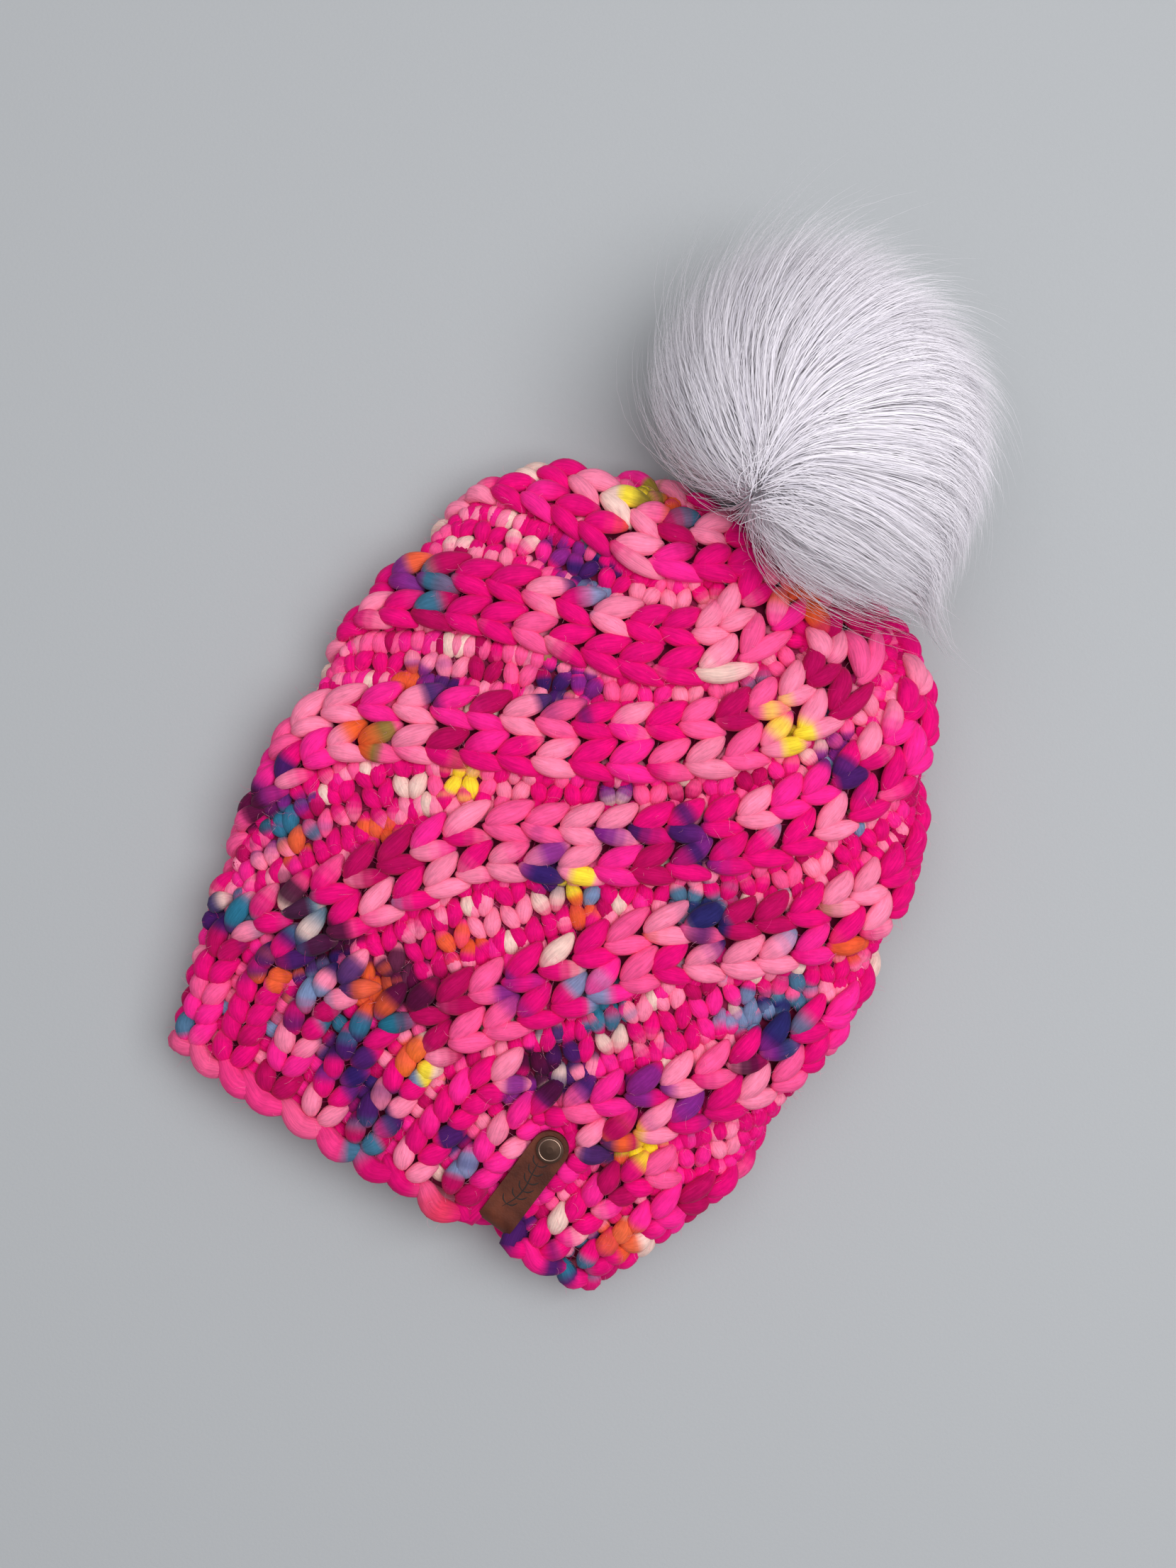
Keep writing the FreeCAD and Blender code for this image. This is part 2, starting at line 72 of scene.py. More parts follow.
def linear(red, green, blue):
    """A colour given as 8-bit screen values, as linear light."""
    c = np.array([red, green, blue]) / 255
    return np.where(c <= 0.04045, c / 12.92, ((c + 0.055) / 1.055) ** 2.4)


def rolling_curve(points, steps=40):
    """A smooth curve through points, with its fraction of the length and its length."""
    p = np.array(points, float)
    p = np.vstack([2 * p[0] - p[1], p, 2 * p[-1] - p[-2]])
    t = np.linspace(0, 1, steps, endpoint=False)[:, None]
    runs = []
    for a, b, c, d in zip(p, p[1:], p[2:], p[3:]):
        runs.append(0.5 * (2 * b + (c - a) * t + (2 * a - 5 * b + 4 * c - d) * t**2
                           + (3 * b - a - 3 * c + d) * t**3))
    curve = np.vstack(runs + [p[-2:-1]])
    length = np.r_[0, np.cumsum(np.linalg.norm(np.diff(curve, axis=0), axis=1))]
    return curve, length / length[-1], length[-1]


# ---------------------------------------------------------------- the bag's surface

GATHER = np.array([10.0, 254.0])
LEFT_SIDE = [(-91, 0), (-99, 34), (-108, 76), (-112, 133), (-108, 172), (-100, 210), (-80, 237),
             (-54, 252), (-20, 257), tuple(GATHER)]
RIGHT_SIDE = [(83, 0), (99, 34), (110, 76), (112, 133), (108, 172), (95, 210), (79, 238),
              (58, 253), (34, 257), tuple(GATHER)]
LEVELS = [0, 0.13, 0.3, 0.52, 0.7, 0.82, 0.92, 0.97, 1]
HALF_THICKNESS = [18, 20, 22, 23, 23, 21.5, 18, 13, 6]
MID_HEIGHT = [18, 20, 22, 23, 23, 22.5, 22, 22.5, 23]


class Bag:
    """The flattened bag's outer surface: a goes round from the left edge over the front (0 to 0.5)
    and the back (0.5 to 1), s goes from the brim's edge (0) to the gathered crown (1)."""

    ROUND, UP = 360, 160
    EDGE_STARTS, EDGE_ENDS = 0.279, 1.041
    FAN_STARTS, FAN_ENDS = 0.70, 0.996
    TOP_POWER, UNDER_POWER = 2.5, 3.6

    def __init__(self):
        s = np.linspace(0, 1, self.UP + 1)
        middle = np.interp(s, [0, 0.13, 0.5, 0.8, 1], [-4, 0.5, 0, 2, 10])
        fan = smoothstep(s, self.FAN_STARTS, self.FAN_ENDS)
        thick = np.interp(s, LEVELS, HALF_THICKNESS)
        height = np.interp(s, LEVELS, MID_HEIGHT)
        sides = [self.side(points, s) for points in (LEFT_SIDE, RIGHT_SIDE)]
        turn = np.linspace(0, 2 * math.pi, 8 * self.ROUND + 1)
        cos, sin = np.cos(turn), np.sin(turn)
        power = 2 / np.where(sin >= 0, self.TOP_POWER, self.UNDER_POWER)
        across = -np.sign(cos) * np.abs(cos) ** power
        up = np.sign(sin) * np.abs(sin) ** power
        self.grid = np.zeros((self.UP + 1, self.ROUND + 1, 3))
        for row in range(self.UP + 1):
            wide = np.abs((1 - fan[row]) * across + fan[row] * np.sin(across * math.pi / 2))
            late = (1 - fan[row]) * across**2 + fan[row] * (1 - np.cos(across * math.pi / 2))
            edge = np.where(across[:, None] < 0, sides[0][row], sides[1][row])
            ring = np.stack([
                middle[row] + (edge[:, 0] - middle[row]) * wide,
                GATHER[1] * s[row] + (edge[:, 1] - GATHER[1] * s[row]) * late,
                height[row] + thick[row] * up,
            ], -1)
            for half in range(2):
                self.grid[row, half * self.ROUND // 2:][:self.ROUND // 2 + 1] = self.evenly(
                    ring[half * 4 * self.ROUND:][:4 * self.ROUND + 1])
        around = np.roll(self.grid[:, :-1], -1, 1) - np.roll(self.grid[:, :-1], 1, 1)
        around = np.concatenate([around, around[:, :1]], 1)
        normal = unit(np.cross(around, np.gradient(self.grid, axis=0)))
        normal[-1] = normal[-2]
        self.normals = normal
        self.around = around * self.ROUND / 2
        self.along = np.gradient(self.grid, axis=0) * self.UP

    def side(self, points, s):
        """The edge of the flat bag at each level, slower at first and faster towards the crown."""
        curve, fraction, length = rolling_curve(points)
        even = GATHER[1] / length
        reach = even * s + (1 - even) * smoothstep(s, self.EDGE_STARTS, self.EDGE_ENDS)
        return np.stack([np.interp(reach, fraction, curve[:, i]) for i in range(2)], -1)

    def evenly(self, points):
        """Points at equal distances along a row of points."""
        length = np.r_[0, np.cumsum(np.linalg.norm(np.diff(points, axis=0), axis=1))]
        want = np.linspace(0, length[-1], self.ROUND // 2 + 1)
        return np.stack([np.interp(want, length, points[:, i]) for i in range(3)], -1)

    def look_up(self, grid, a, s):
        col = np.mod(a, 1.0) * self.ROUND
        row = np.clip(s, 0, 1) * self.UP
        i = np.minimum(row.astype(int), self.UP - 1)
        j = np.minimum(col.astype(int), self.ROUND - 1)
        u, v = (row - i)[..., None], (col - j)[..., None]
        low = (1 - v) * grid[i, j] + v * grid[i, j + 1]
        high = (1 - v) * grid[i + 1, j] + v * grid[i + 1, j + 1]
        return (1 - u) * low + u * high

    def point(self, a, s):
        """A point on the surface; below the brim's edge it carries on straight."""
        short = np.minimum(s, 0)[..., None]
        return self.look_up(self.grid, a, s) + short * self.look_up(self.along, a, 0 * s)

    def normal(self, a, s):
        return unit(self.look_up(self.normals, a, s))


bag = Bag()

# How far the knit has turned round the bag at each level, as a share of the way round.
TURN_LEVELS = [0, 0.13, 0.17, 0.3, 0.45, 0.6, 0.72, 0.84, 0.95, 1]
TURNS = [0, 0, 0.004, 0.063, 0.130, 0.271, 0.379, 0.474, 0.4995, 0.505]
RIBS = 7
FIRST_RIB = 0.201 - 5 / RIBS
TURN_FINE = np.linspace(-0.2, 1.2, 1401)
TURN_SOFT = np.convolve(
    np.pad(np.interp(TURN_FINE, TURN_LEVELS, TURNS), 30, mode="edge"),
    np.hanning(63)[1:-1] / 31, "valid")


def turn_at(s):
    return np.interp(s, TURN_FINE, TURN_SOFT)


class Wale:
    """A line up the bag that the knit follows, at a fixed share of the way round plus the turn."""

    def __init__(self, share, start=-0.03, stop=0.985):
        self.share = share
        self.s = np.linspace(start, stop, 900)
        points = bag.point(share + turn_at(self.s), self.s)
        self.length = np.r_[0, np.cumsum(np.linalg.norm(np.diff(points, axis=0), axis=1))]
        self.length -= np.interp(0, self.s, self.length)
        step = np.gradient(points, axis=0)
        kernel = np.hanning(41) / np.hanning(41).sum()
        padded = np.pad(step, ((20, 20), (0, 0)), mode="edge")
        self.step = unit(np.stack([np.convolve(padded[:, i], kernel, "valid") for i in range(3)], -1))

    def level(self, along):
        return np.interp(along, self.length, self.s)

    def spacing(self, along):
        """The distance straight across from this line to the next rib's."""
        s = self.level(along)
        around = bag.look_up(bag.around, self.share + turn_at(s), s) / RIBS
        step = self.direction(along)
        return np.linalg.norm(around - (around * step).sum(-1, keepdims=True) * step, axis=-1)

    def direction(self, along):
        return unit(np.stack([np.interp(along, self.length, self.step[:, i]) for i in range(3)], -1))

    def place(self, along, across, lift):
        """Points at distances along the line, across it towards the crown, and off the surface."""
        s = self.level(along)
        a = self.share + turn_at(s)
        step = self.direction(along)
        side = unit(np.cross(bag.normal(a, s), step))
        around, up = bag.look_up(bag.around, a, s), bag.look_up(bag.along, a, s)
        aa, bb, ab = (around**2).sum(-1), (up**2).sum(-1), (around * up).sum(-1)
        ac, bc = (around * side).sum(-1) * across, (up * side).sum(-1) * across
        spread = aa * bb - ab**2 + 1e-3 * bb**2
        a = a + (ac * bb - bc * ab) / spread
        s = s + (bc * aa - ac * ab) / spread
        normal = bag.normal(a, s)
        return bag.point(a, s) + lift[..., None] * normal, normal


# ---------------------------------------------------------------- yarn colours

HOT = linear(226, 6, 116)
BRIGHT = linear(246, 36, 144)
DEEP = linear(184, 4, 88)
PALE = linear(249, 132, 168)
ROSE = linear(246, 86, 148)
CREAM = linear(240, 202, 192)
NAVY = linear(38, 26, 96)
VIOLET = linear(128, 34, 130)
PLUM = linear(72, 10, 52)
TEAL = linear(36, 112, 140)
SLATE = linear(120, 140, 178)
ORANGE = linear(232, 92, 44)
YELLOW = linear(250, 222, 40)
OLIVE = linear(130, 112, 42)

DYES = [HOT, BRIGHT, DEEP, PALE, ROSE, CREAM, NAVY, VIOLET, PLUM, TEAL, SLATE, ORANGE, YELLOW, OLIVE]
DYE_SHARES = np.array([30, 12, 7, 22, 12, 6, 1.2, 2.0, 0.8, 1.2, 1.0, 1.4, 0.5, 0.4])
PER_STITCH = 8


def dyed_yarn(stitches):
    """The colour along the yarn, PER_STITCH samples to a stitch: runs of a few stitches."""
    colours = []
    while len(colours) < stitches * PER_STITCH:
        pick = rng.choice(len(DYES), p=DYE_SHARES / DYE_SHARES.sum())
        run = rng.uniform(1.0, 4.5) if pick < 6 else rng.uniform(0.3, 1.2)
        colours += [DYES[pick]] * max(2, int(run * PER_STITCH))
    colours = np.array(colours[:stitches * PER_STITCH])
    kernel = np.hanning(7) / np.hanning(7).sum()
    return np.stack([np.convolve(colours[:, i], kernel, "same") for i in range(3)], -1)


STITCHES_ROUND = 35
ROWS_DYED = 60
yarn = dyed_yarn(STITCHES_ROUND * ROWS_DYED)

# A leaf is one leg of a stitch: rings of points along it, between its two end points.
LEAF_RINGS = 11
LEAF_T = np.linspace(0, 1, LEAF_RINGS + 2)

# Splashes of other dyes, as place on the front in the hat's frame, size and colour.  They soak
# into the yarn above FRONT_HEIGHT.
FRONT_HEIGHT = 20
SOAKED = 0.94
SPLASHES = [
    (-43, 244, 6, YELLOW), (-38, 248, 6, OLIVE), (-34, 246, 4, ORANGE), (21, 241, 6, ORANGE),
    (-56, 213, 7, VIOLET), (-42, 211, 7, NAVY), (-39, 207, 5, SLATE), (-97, 184, 6, ORANGE),
    (-91, 179, 8, TEAL), (-96, 178, 6, VIOLET), (-70, 152, 8, NAVY), (-75, 156, 6, VIOLET),
    (-80, 148, 5, ORANGE), (-33, 174, 9, NAVY), (-28, 178, 6, VIOLET), (-81, 127, 7, OLIVE),
    (-84, 123, 5, ORANGE), (-45, 130, 6, YELLOW), (40, 201, 7, YELLOW), (-99, 93, 10, NAVY),
    (-92, 88, 8, VIOLET), (-104, 84, 8, PLUM), (-88, 84, 7, TEAL), (-84, 80, 5, ORANGE),
    (64, 198, 8, NAVY), (58, 202, 6, VIOLET), (31, 152, 8, NAVY), (37, 156, 6, VIOLET),
    (-8, 122, 7, VIOLET), (-2, 116, 6, NAVY), (5, 120, 5, YELLOW), (12, 112, 5, ORANGE),
    (-63, 48, 15, NAVY), (-70, 62, 9, TEAL), (-76, 66, 8, PLUM), (-58, 60, 8, PLUM),
    (-52, 42, 7, SLATE), (-66, 40, 6, ORANGE), (-46, 50, 7, NAVY), (-28, 59, 10, PLUM),
    (-36, 52, 6, ORANGE), (-34, 30, 9, NAVY), (-40, 36, 6, TEAL), (-28, 22, 6, VIOLET),
    (-8, 38, 5, YELLOW), (-14, 40, 5, ORANGE), (-17, 18, 9, NAVY), (-12, 6, 7, TEAL),
    (-92, 46, 8, NAVY), (-86, 52, 6, TEAL), (-97, 12, 7, NAVY), (-90, 6, 6, TEAL),
    (45, 134, 8, TEAL), (50, 130, 6, NAVY), (30, 90, 8, SLATE), (36, 86, 6, TEAL),
    (33, 64, 10, NAVY), (27, 58, 7, PLUM), (24, 46, 6, VIOLET), (89, 119, 10, TEAL),
    (84, 112, 9, NAVY), (78, 108, 7, SLATE), (96, 149, 6, ORANGE), (64, 48, 8, ORANGE),
    (58, 44, 6, NAVY), (70, 52, 5, YELLOW), (80, 21, 7, ORANGE), (66, -2, 7, NAVY),
    (72, 8, 6, TEAL), (46, 6, 8, NAVY), (20, 15, 7, SLATE), (14, 22, 6, NAVY), (60, 70, 7, VIOLET),
    (-60, 100, 6, ORANGE), (-20, 82, 6, ORANGE), (8, 78, 7, VIOLET),
]


def splash(points, colours):
    """Colours with the splashes soaked in, leaf by leaf, for rows of points on the front."""
    count = len(points)
    wander = rng.uniform(-0.45, 0.45, (count, 1))
    ripple = 0.3 * np.sin(rng.uniform(4, 9, (count, 1)) * LEAF_T + rng.uniform(0, 6, (count, 1)))
    for x, y, size, dye in SPLASHES:
        far = np.hypot(points[..., 0] - x, points[..., 1] - y) / size
        soak = smoothstep(1.3 - far + wander + ripple, 0.15, 0.75) * (points[..., 2] > FRONT_HEIGHT)
        colours = colours + (soak * SOAKED)[..., None] * (dye - colours)
    return colours


# ---------------------------------------------------------------- meshes

def new_object(name, points, faces, material, body):
    """A smooth mesh object from points in metres and arrays of faces, riding a body."""
    loops = np.concatenate([part.ravel() for part in faces])
    sizes = np.concatenate([np.full(len(part), part.shape[1]) for part in faces])
    mesh = bpy.data.meshes.new(name)
    mesh.vertices.add(len(points))
    mesh.vertices.foreach_set("co", np.asarray(points, np.float32).ravel())
    mesh.loops.add(len(loops))
    mesh.loops.foreach_set("vertex_index", loops.astype(np.int32))
    mesh.polygons.add(len(sizes))
    mesh.polygons.foreach_set("loop_start", np.r_[0, np.cumsum(sizes)[:-1]].astype(np.int32))
    mesh.polygons.foreach_set("use_smooth", np.ones(len(sizes), bool))
    mesh.update(calc_edges=True)
    mesh.materials.append(material)
    piece = bpy.data.objects.new(name, mesh)
    bpy.context.scene.collection.objects.link(piece)
    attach(piece, body)
    return piece


def set_attribute(piece, name, kind, values):
    """Stores a colour or a vector for each of a piece's points."""
    data = piece.data.attributes.new(name, kind, "POINT").data
    key = "color" if kind == "FLOAT_COLOR" else "vector"
    data.foreach_set(key, np.asarray(values, np.float32).ravel())


def tube_faces(count, rings, segments):
    """Quads and end triangles of equal closed tubes: a point, rings of vertices and a point."""
    quads = []
    for ring in range(rings - 1):
        for k in range(segments):
            a, b = 1 + ring * segments + k, 1 + ring * segments + (k + 1) % segments
            quads.append((a, a + segments, b + segments, b))
    last = 1 + rings * segments
    fans = []
    for k in range(segments):
        fans.append((0, 1 + k, 1 + (k + 1) % segments))
        fans.append((last, last - segments + (k + 1) % segments, last - segments + k))
    shift = (np.arange(count) * (last + 1))[:, None, None]
    return (np.array(quads) + shift).reshape(-1, 4), (np.array(fans) + shift).reshape(-1, 3)


def tubes(centres, normals, wide, high, segments):
    """Vertices of closed tubes along rows of centres, whose first and last are the end points.

    wide and high are the half widths across the normals and along them.
    """
    step = unit(np.gradient(centres, axis=1))
    side = unit(np.cross(step, normals))
    up = np.cross(side, step)
    angle = np.linspace(0, 2 * math.pi, segments, endpoint=False) - math.pi / 6
    inner = slice(1, -1)
    ring = (centres[:, inner, None]
            + wide[:, inner, None, None] * np.cos(angle)[:, None] * side[:, inner, None]
            + high[:, inner, None, None] * np.sin(angle)[:, None] * up[:, inner, None])
    count = len(centres)
    return np.concatenate([centres[:, :1], ring.reshape(count, -1, 3), centres[:, -1:]], 1)


def tube_object(name, verts, rings, segments, material, body):
    """Closed tubes, one row of vertices to a tube, as one object."""
    faces = tube_faces(len(verts), rings, segments)
    return new_object(name, verts.reshape(-1, 3), faces, material, body)


def ring_faces(rows, columns):
    """Quads of a grid that closes on itself both ways."""
    i, k = np.meshgrid(np.arange(rows), np.arange(columns), indexing="ij")
    here, there, following = i * columns, (i + 1) % rows * columns, (k + 1) % columns
    return np.stack([here + k, there + k, there + following, here + following], -1).reshape(-1, 4)


# ---------------------------------------------------------------- materials

def node_material(name):
    material = bpy.data.materials.new(name)
    material.use_nodes = True
    nodes, links = material.node_tree.nodes, material.node_tree.links
    shader = nodes["Principled BSDF"]
    return material, nodes, links, shader


def set_inputs(node, **values):
    """Sets a node's inputs, named with _ for each space."""
    for key, value in values.items():
        node.inputs[key.replace("_", " ")].default_value = value


def add(nodes, kind, **values):
    """A node with its properties and input values set."""
    node = nodes.new(kind)
    for key, value in values.items():
        if hasattr(node, key):
            setattr(node, key, value)
        else:
            set_inputs(node, **{key: value})
    return node


def add_grain(nodes, links, kind="ShaderNodeTexNoise", **values):
    """A texture over the piece's own coordinates."""
    texture = add(nodes, "ShaderNodeTexCoord")
    grain = add(nodes, kind, **values)
    links.new(texture.outputs["Object"], grain.inputs["Vector"])
    return grain


def spread(nodes, links, source, target, low, high, **values):
    """Feeds an input from a texture, mapped to the range from low to high."""
    node = add(nodes, "ShaderNodeMapRange", To_Min=low, To_Max=high, **values)
    links.new(source, node.inputs["Value"])
    links.new(node.outputs["Result"], target)


def add_bump(nodes, links, source, shader, strength, distance):
    """Bumps a shader's surface by a texture."""
    bump = add(nodes, "ShaderNodeBump", Strength=strength, Distance=distance)
    links.new(source, bump.inputs["Height"])
    links.new(bump.outputs["Normal"], shader.inputs["Normal"])


def wool_material():
    """Space-dyed wool: dye from the stitches, fibres that run along each strand."""
    material, nodes, links, shader = node_material("space_dyed_wool")
    dye = add(nodes, "ShaderNodeAttribute", attribute_name="dye")
    fibre = add(nodes, "ShaderNodeAttribute", attribute_name="fibre")
    stretch = add(nodes, "ShaderNodeVectorMath", operation="MULTIPLY")
    stretch.inputs[1].default_value = (0.16, 1.5, 1.0)
    links.new(fibre.outputs["Vector"], stretch.inputs[0])
    streak = add(nodes, "ShaderNodeTexNoise", Scale=1.6, Detail=4.0, Roughness=0.6)
    links.new(stretch.outputs[0], streak.inputs["Vector"])
    mottle = add(nodes, "ShaderNodeTexNoise", Scale=0.35, Detail=2.0)
    links.new(fibre.outputs["Vector"], mottle.inputs["Vector"])
    both = add(nodes, "ShaderNodeMath", operation="MULTIPLY")
    for texture, target, low, high in (
        (streak, both.inputs[0], 0.78, 1.16),
        (mottle, both.inputs[1], 0.9, 1.08),
        (streak, shader.inputs["Roughness"], 0.95, 0.78),
    ):
        spread(nodes, links, texture.outputs["Fac"], target, low, high, From_Min=0.3, From_Max=0.7)
    colour = add(nodes, "ShaderNodeVectorMath", operation="SCALE")
    links.new(dye.outputs["Color"], colour.inputs[0])
    links.new(both.outputs[0], colour.inputs["Scale"])
    links.new(colour.outputs[0], shader.inputs["Base Color"])
    add_bump(nodes, links, streak.outputs["Fac"], shader, 0.55, 0.0004)
    set_inputs(shader, Sheen_Weight=0.05, Sheen_Roughness=0.4, Specular_IOR_Level=0.1,
               Subsurface_Weight=0.12, Subsurface_Radius=(1.0, 0.45, 0.45), Subsurface_Scale=0.0012)
    return material


def plain_material(name, colour, roughness=0.6, sheen=0.0, metallic=0.0):
    """One colour with a fine grain; a slight bump too where it isn't metal."""
    material, nodes, links, shader = node_material(name)
    set_inputs(shader, Base_Color=(*colour, 1), Metallic=metallic, Sheen_Weight=sheen)
    grain = add_grain(nodes, links, Scale=900.0, Detail=3.0).outputs["Fac"]
    spread(nodes, links, grain, shader.inputs["Roughness"], roughness - 0.08, roughness + 0.08)
    if not metallic:
        add_bump(nodes, links, grain, shader, 0.3, 0.0003)
    return material


def fur_material(name, colour):
    """White fur with a silky sheen."""
    material, nodes, links, shader = node_material(name)
    set_inputs(shader, Base_Color=(*colour, 1), Sheen_Weight=0.3, Sheen_Roughness=0.6)
    grain = add_grain(nodes, links, Scale=400.0, Detail=2.0).outputs["Fac"]
    spread(nodes, links, grain, shader.inputs["Roughness"], 0.4, 0.6)
    return material


def leather_material():
    """Dark brown leather: blotchy dye, a pebbled grain and a dull polish."""
    material, nodes, links, shader = node_material("brown_leather")
    blotch = add_grain(nodes, links, Scale=120.0, Detail=4.0).outputs["Fac"]
    shade = add(nodes, "ShaderNodeValToRGB")
    for stop, position, colour in zip(shade.color_ramp.elements, (0.3, 0.72),
                                      (linear(66, 27, 17), linear(108, 52, 34))):
        stop.position = position
        stop.color = (*colour, 1)
    links.new(blotch, shade.inputs["Fac"])
    links.new(shade.outputs["Color"], shader.inputs["Base Color"])
    pebble = add_grain(nodes, links, "ShaderNodeTexVoronoi", Scale=1400.0)
    add_bump(nodes, links, pebble.outputs["Distance"], shader, 0.35, 0.0002)
    set_inputs(shader, Specular_IOR_Level=0.25)
    spread(nodes, links, blotch, shader.inputs["Roughness"], 0.5, 0.7)
    return material


wool = wool_material()
# Dark pink wool for the sheet behind the stitches: painted shade in the gaps between them.
backing_shade = plain_material("painted_shade_wool", linear(128, 4, 62), 0.95)
fuzz_pink = plain_material("fuzz_pink", linear(244, 60, 150), 0.8)
fuzz_pale = plain_material("fuzz_pale", linear(255, 170, 200), 0.8)
fur_white = fur_material("fur_white", linear(251, 245, 254))
fur_cool = fur_material("fur_cool", linear(244, 238, 250))


# ---------------------------------------------------------------- the tag's place

def tag_axes(lean, pitch):
    """The tag's own axes, as the columns of a turn: across, along it and off the knit."""
    turn = Matrix.Rotation(math.radians(lean), 3, "Z") @ Matrix.Rotation(math.radians(pitch), 3, "X")
    return np.array(turn)


TAG_TURN = tag_axes(-5.5, 7.5)
TAG_HALF_WIDTH = 6.5
TAG_HALF_GAP = 4.7
TAG_LENGTH = 35.1
RIVET_ALONG = 28.9
rivet_low, rivet_high = (np.array(v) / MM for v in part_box("rivet_post"))
cap_low, cap_high = (np.array(v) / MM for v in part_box("rivet_cap"))
RIVET = (np.minimum(rivet_low, cap_low) + np.maximum(rivet_high, cap_high)) / 2 - HAT_ORIGIN
TAG_SPOT = RIVET - TAG_TURN @ [0, RIVET_ALONG, 0]


def in_tag(points):
    """Points in the tag's own axes: across, along from its fold, and off its middle."""
    return (points - TAG_SPOT) @ TAG_TURN


def tuck_into_tag(points, radius):
    """Keeps yarn between the tag's two flaps, where the tag squeezes the brim."""
    local = in_tag(points)
    x, y, z = np.moveaxis(local, -1, 0)
    beside = np.abs(x) - TAG_HALF_WIDTH - 1
    free = 1.5 * np.maximum(np.maximum(beside, y - TAG_LENGTH - 1), 0)
    room = np.maximum(TAG_HALF_GAP - 0.2 - radius, 0.1) + free
    held = (points[..., 2] > 19) & (y > -14)
    z = np.where(held, np.clip(z, -room, room), z)
    y = np.where(held & (beside < 0), np.maximum(y, radius - TAG_HALF_GAP + 0.3), y)
    return np.stack([x, y, z], -1) @ TAG_TURN.T + TAG_SPOT


# ---------------------------------------------------------------- the snap's place

def node_points(node):
    """A CAD node's corners, in millimetres."""
    vertices = frame["nodes"][node].data.vertices
    points = np.empty(len(vertices) * 3)
    vertices.foreach_get("co", points)
    return points.reshape(-1, 3) / MM


JOINTS = {joint["name"]: joint for joint in frame["record"]["behaviour"]["joints"]}
PIVOT = np.array(JOINTS["pom_nod"]["pos_m"]) / MM
SNAP_AXIS = unit(np.array(JOINTS["pom_unsnap"]["axis"], float))
SNAP_RIGHT = unit(np.cross([0, 0, 1], SNAP_AXIS))
SNAP_UP = np.cross(SNAP_AXIS, SNAP_RIGHT)


def turned_span(node):
    """Where a turned node lies along the snap's axis, and its inner and outer radius."""
    away = node_points(node) - PIVOT
    height = away @ SNAP_AXIS
    radius = np.linalg.norm(away - height[:, None] * SNAP_AXIS, axis=1)
    return height.min(), height.max(), radius.min(), radius.max()


SNAP_ROOM = turned_span("snap_socket")[3] + 3.0


def clear_of_snap(points, radius):
    """Keeps yarn out of the room that the snap tilts in, over the gathered crown."""
    away = points + HAT_ORIGIN - PIVOT
    height = away @ SNAP_AXIS
    out = away - height[..., None] * SNAP_AXIS
    short = np.maximum(SNAP_ROOM + radius - np.linalg.norm(out, axis=-1), 0) * (height > -4)
    return points + unit(out) * short[..., None]


# ---------------------------------------------------------------- stitches

class Stitches:
    """Leaves of yarn, gathered as rows of centres and made into one piece."""

    RINGS = LEAF_RINGS
    SEGMENTS = 10
    HAIRS = 13
    FIBRE_STEP = 1.3
    FIBRE_RADIUS = 3
    FIBRE_SPREAD = 900
    fuzz = []

    def __init__(self):
        self.centres, self.normals, self.wide, self.high, self.dye = [], [], [], [], []

    def add(self, centres, normals, wide, high, dye):
        for store, value in zip((self.centres, self.normals, self.wide, self.high, self.dye),
                                (centres, normals, wide, high, dye)):
            store.append(value)

    def note_fuzz(self, verts, centres):
        """Picks places on the yarn for stray fibres: where each starts, its way out and along."""
        count = len(verts)
        leg = np.arange(count)
        for _ in range(self.HAIRS):
            ring = rng.integers(1, self.RINGS, count)
            spot = 1 + (ring - 1) * self.SEGMENTS + rng.integers(0, self.SEGMENTS, count)
            start, middle, ahead = verts[leg, spot], centres[leg, ring], centres[leg, ring + 1]
            self.fuzz.append(np.stack([start, unit(start - middle), unit(ahead - middle)], 1))

    def per_vertex(self, values):
        """Values given for each ring and end point, repeated round the rings."""
        rings = np.repeat(values[:, 1:-1], self.SEGMENTS, 1)
        return np.concatenate([values[:, :1], rings, values[:, -1:]], 1)

    def fibre_places(self, count):
        """Where each vertex lies in the yarn's fibres, each leaf at a random place of its own."""
        along = self.FIBRE_STEP * self.per_vertex(np.arange(self.RINGS + 2)[None])[0]
        spin = np.r_[0, np.tile(np.arange(self.SEGMENTS), self.RINGS), 0] * 2 * math.pi / self.SEGMENTS
        return np.stack([
            along + rng.uniform(0, self.FIBRE_SPREAD, (count, 1)),
            self.FIBRE_RADIUS * np.cos(spin) + rng.uniform(0, self.FIBRE_SPREAD, (count, 1)),
            np.broadcast_to(self.FIBRE_RADIUS * np.sin(spin), (count, len(spin))),
        ], -1)

    def make(self, name, fuzzy=True):
        centres, normals, wide, high, dye = (
            np.concatenate(v) for v in (self.centres, self.normals, self.wide, self.high, self.dye))
        verts = tubes(centres, normals, wide, high, self.SEGMENTS)
        verts[..., 2] = np.maximum(verts[..., 2], FLOOR_GAP)
        fibre = self.fibre_places(len(verts))
        if fuzzy:
            self.note_fuzz(verts, centres)
        piece = tube_object(name, (verts + HAT_ORIGIN) * MM, self.RINGS, self.SEGMENTS, wool, "hat")
        dyes = self.per_vertex(dye)
        solid = np.ones((*dyes.shape[:2], 1))
        set_attribute(piece, "dye", "FLOAT_COLOR", np.concatenate([dyes, solid], -1))
        set_attribute(piece, "fibre", "FLOAT_VECTOR", fibre)
        return piece


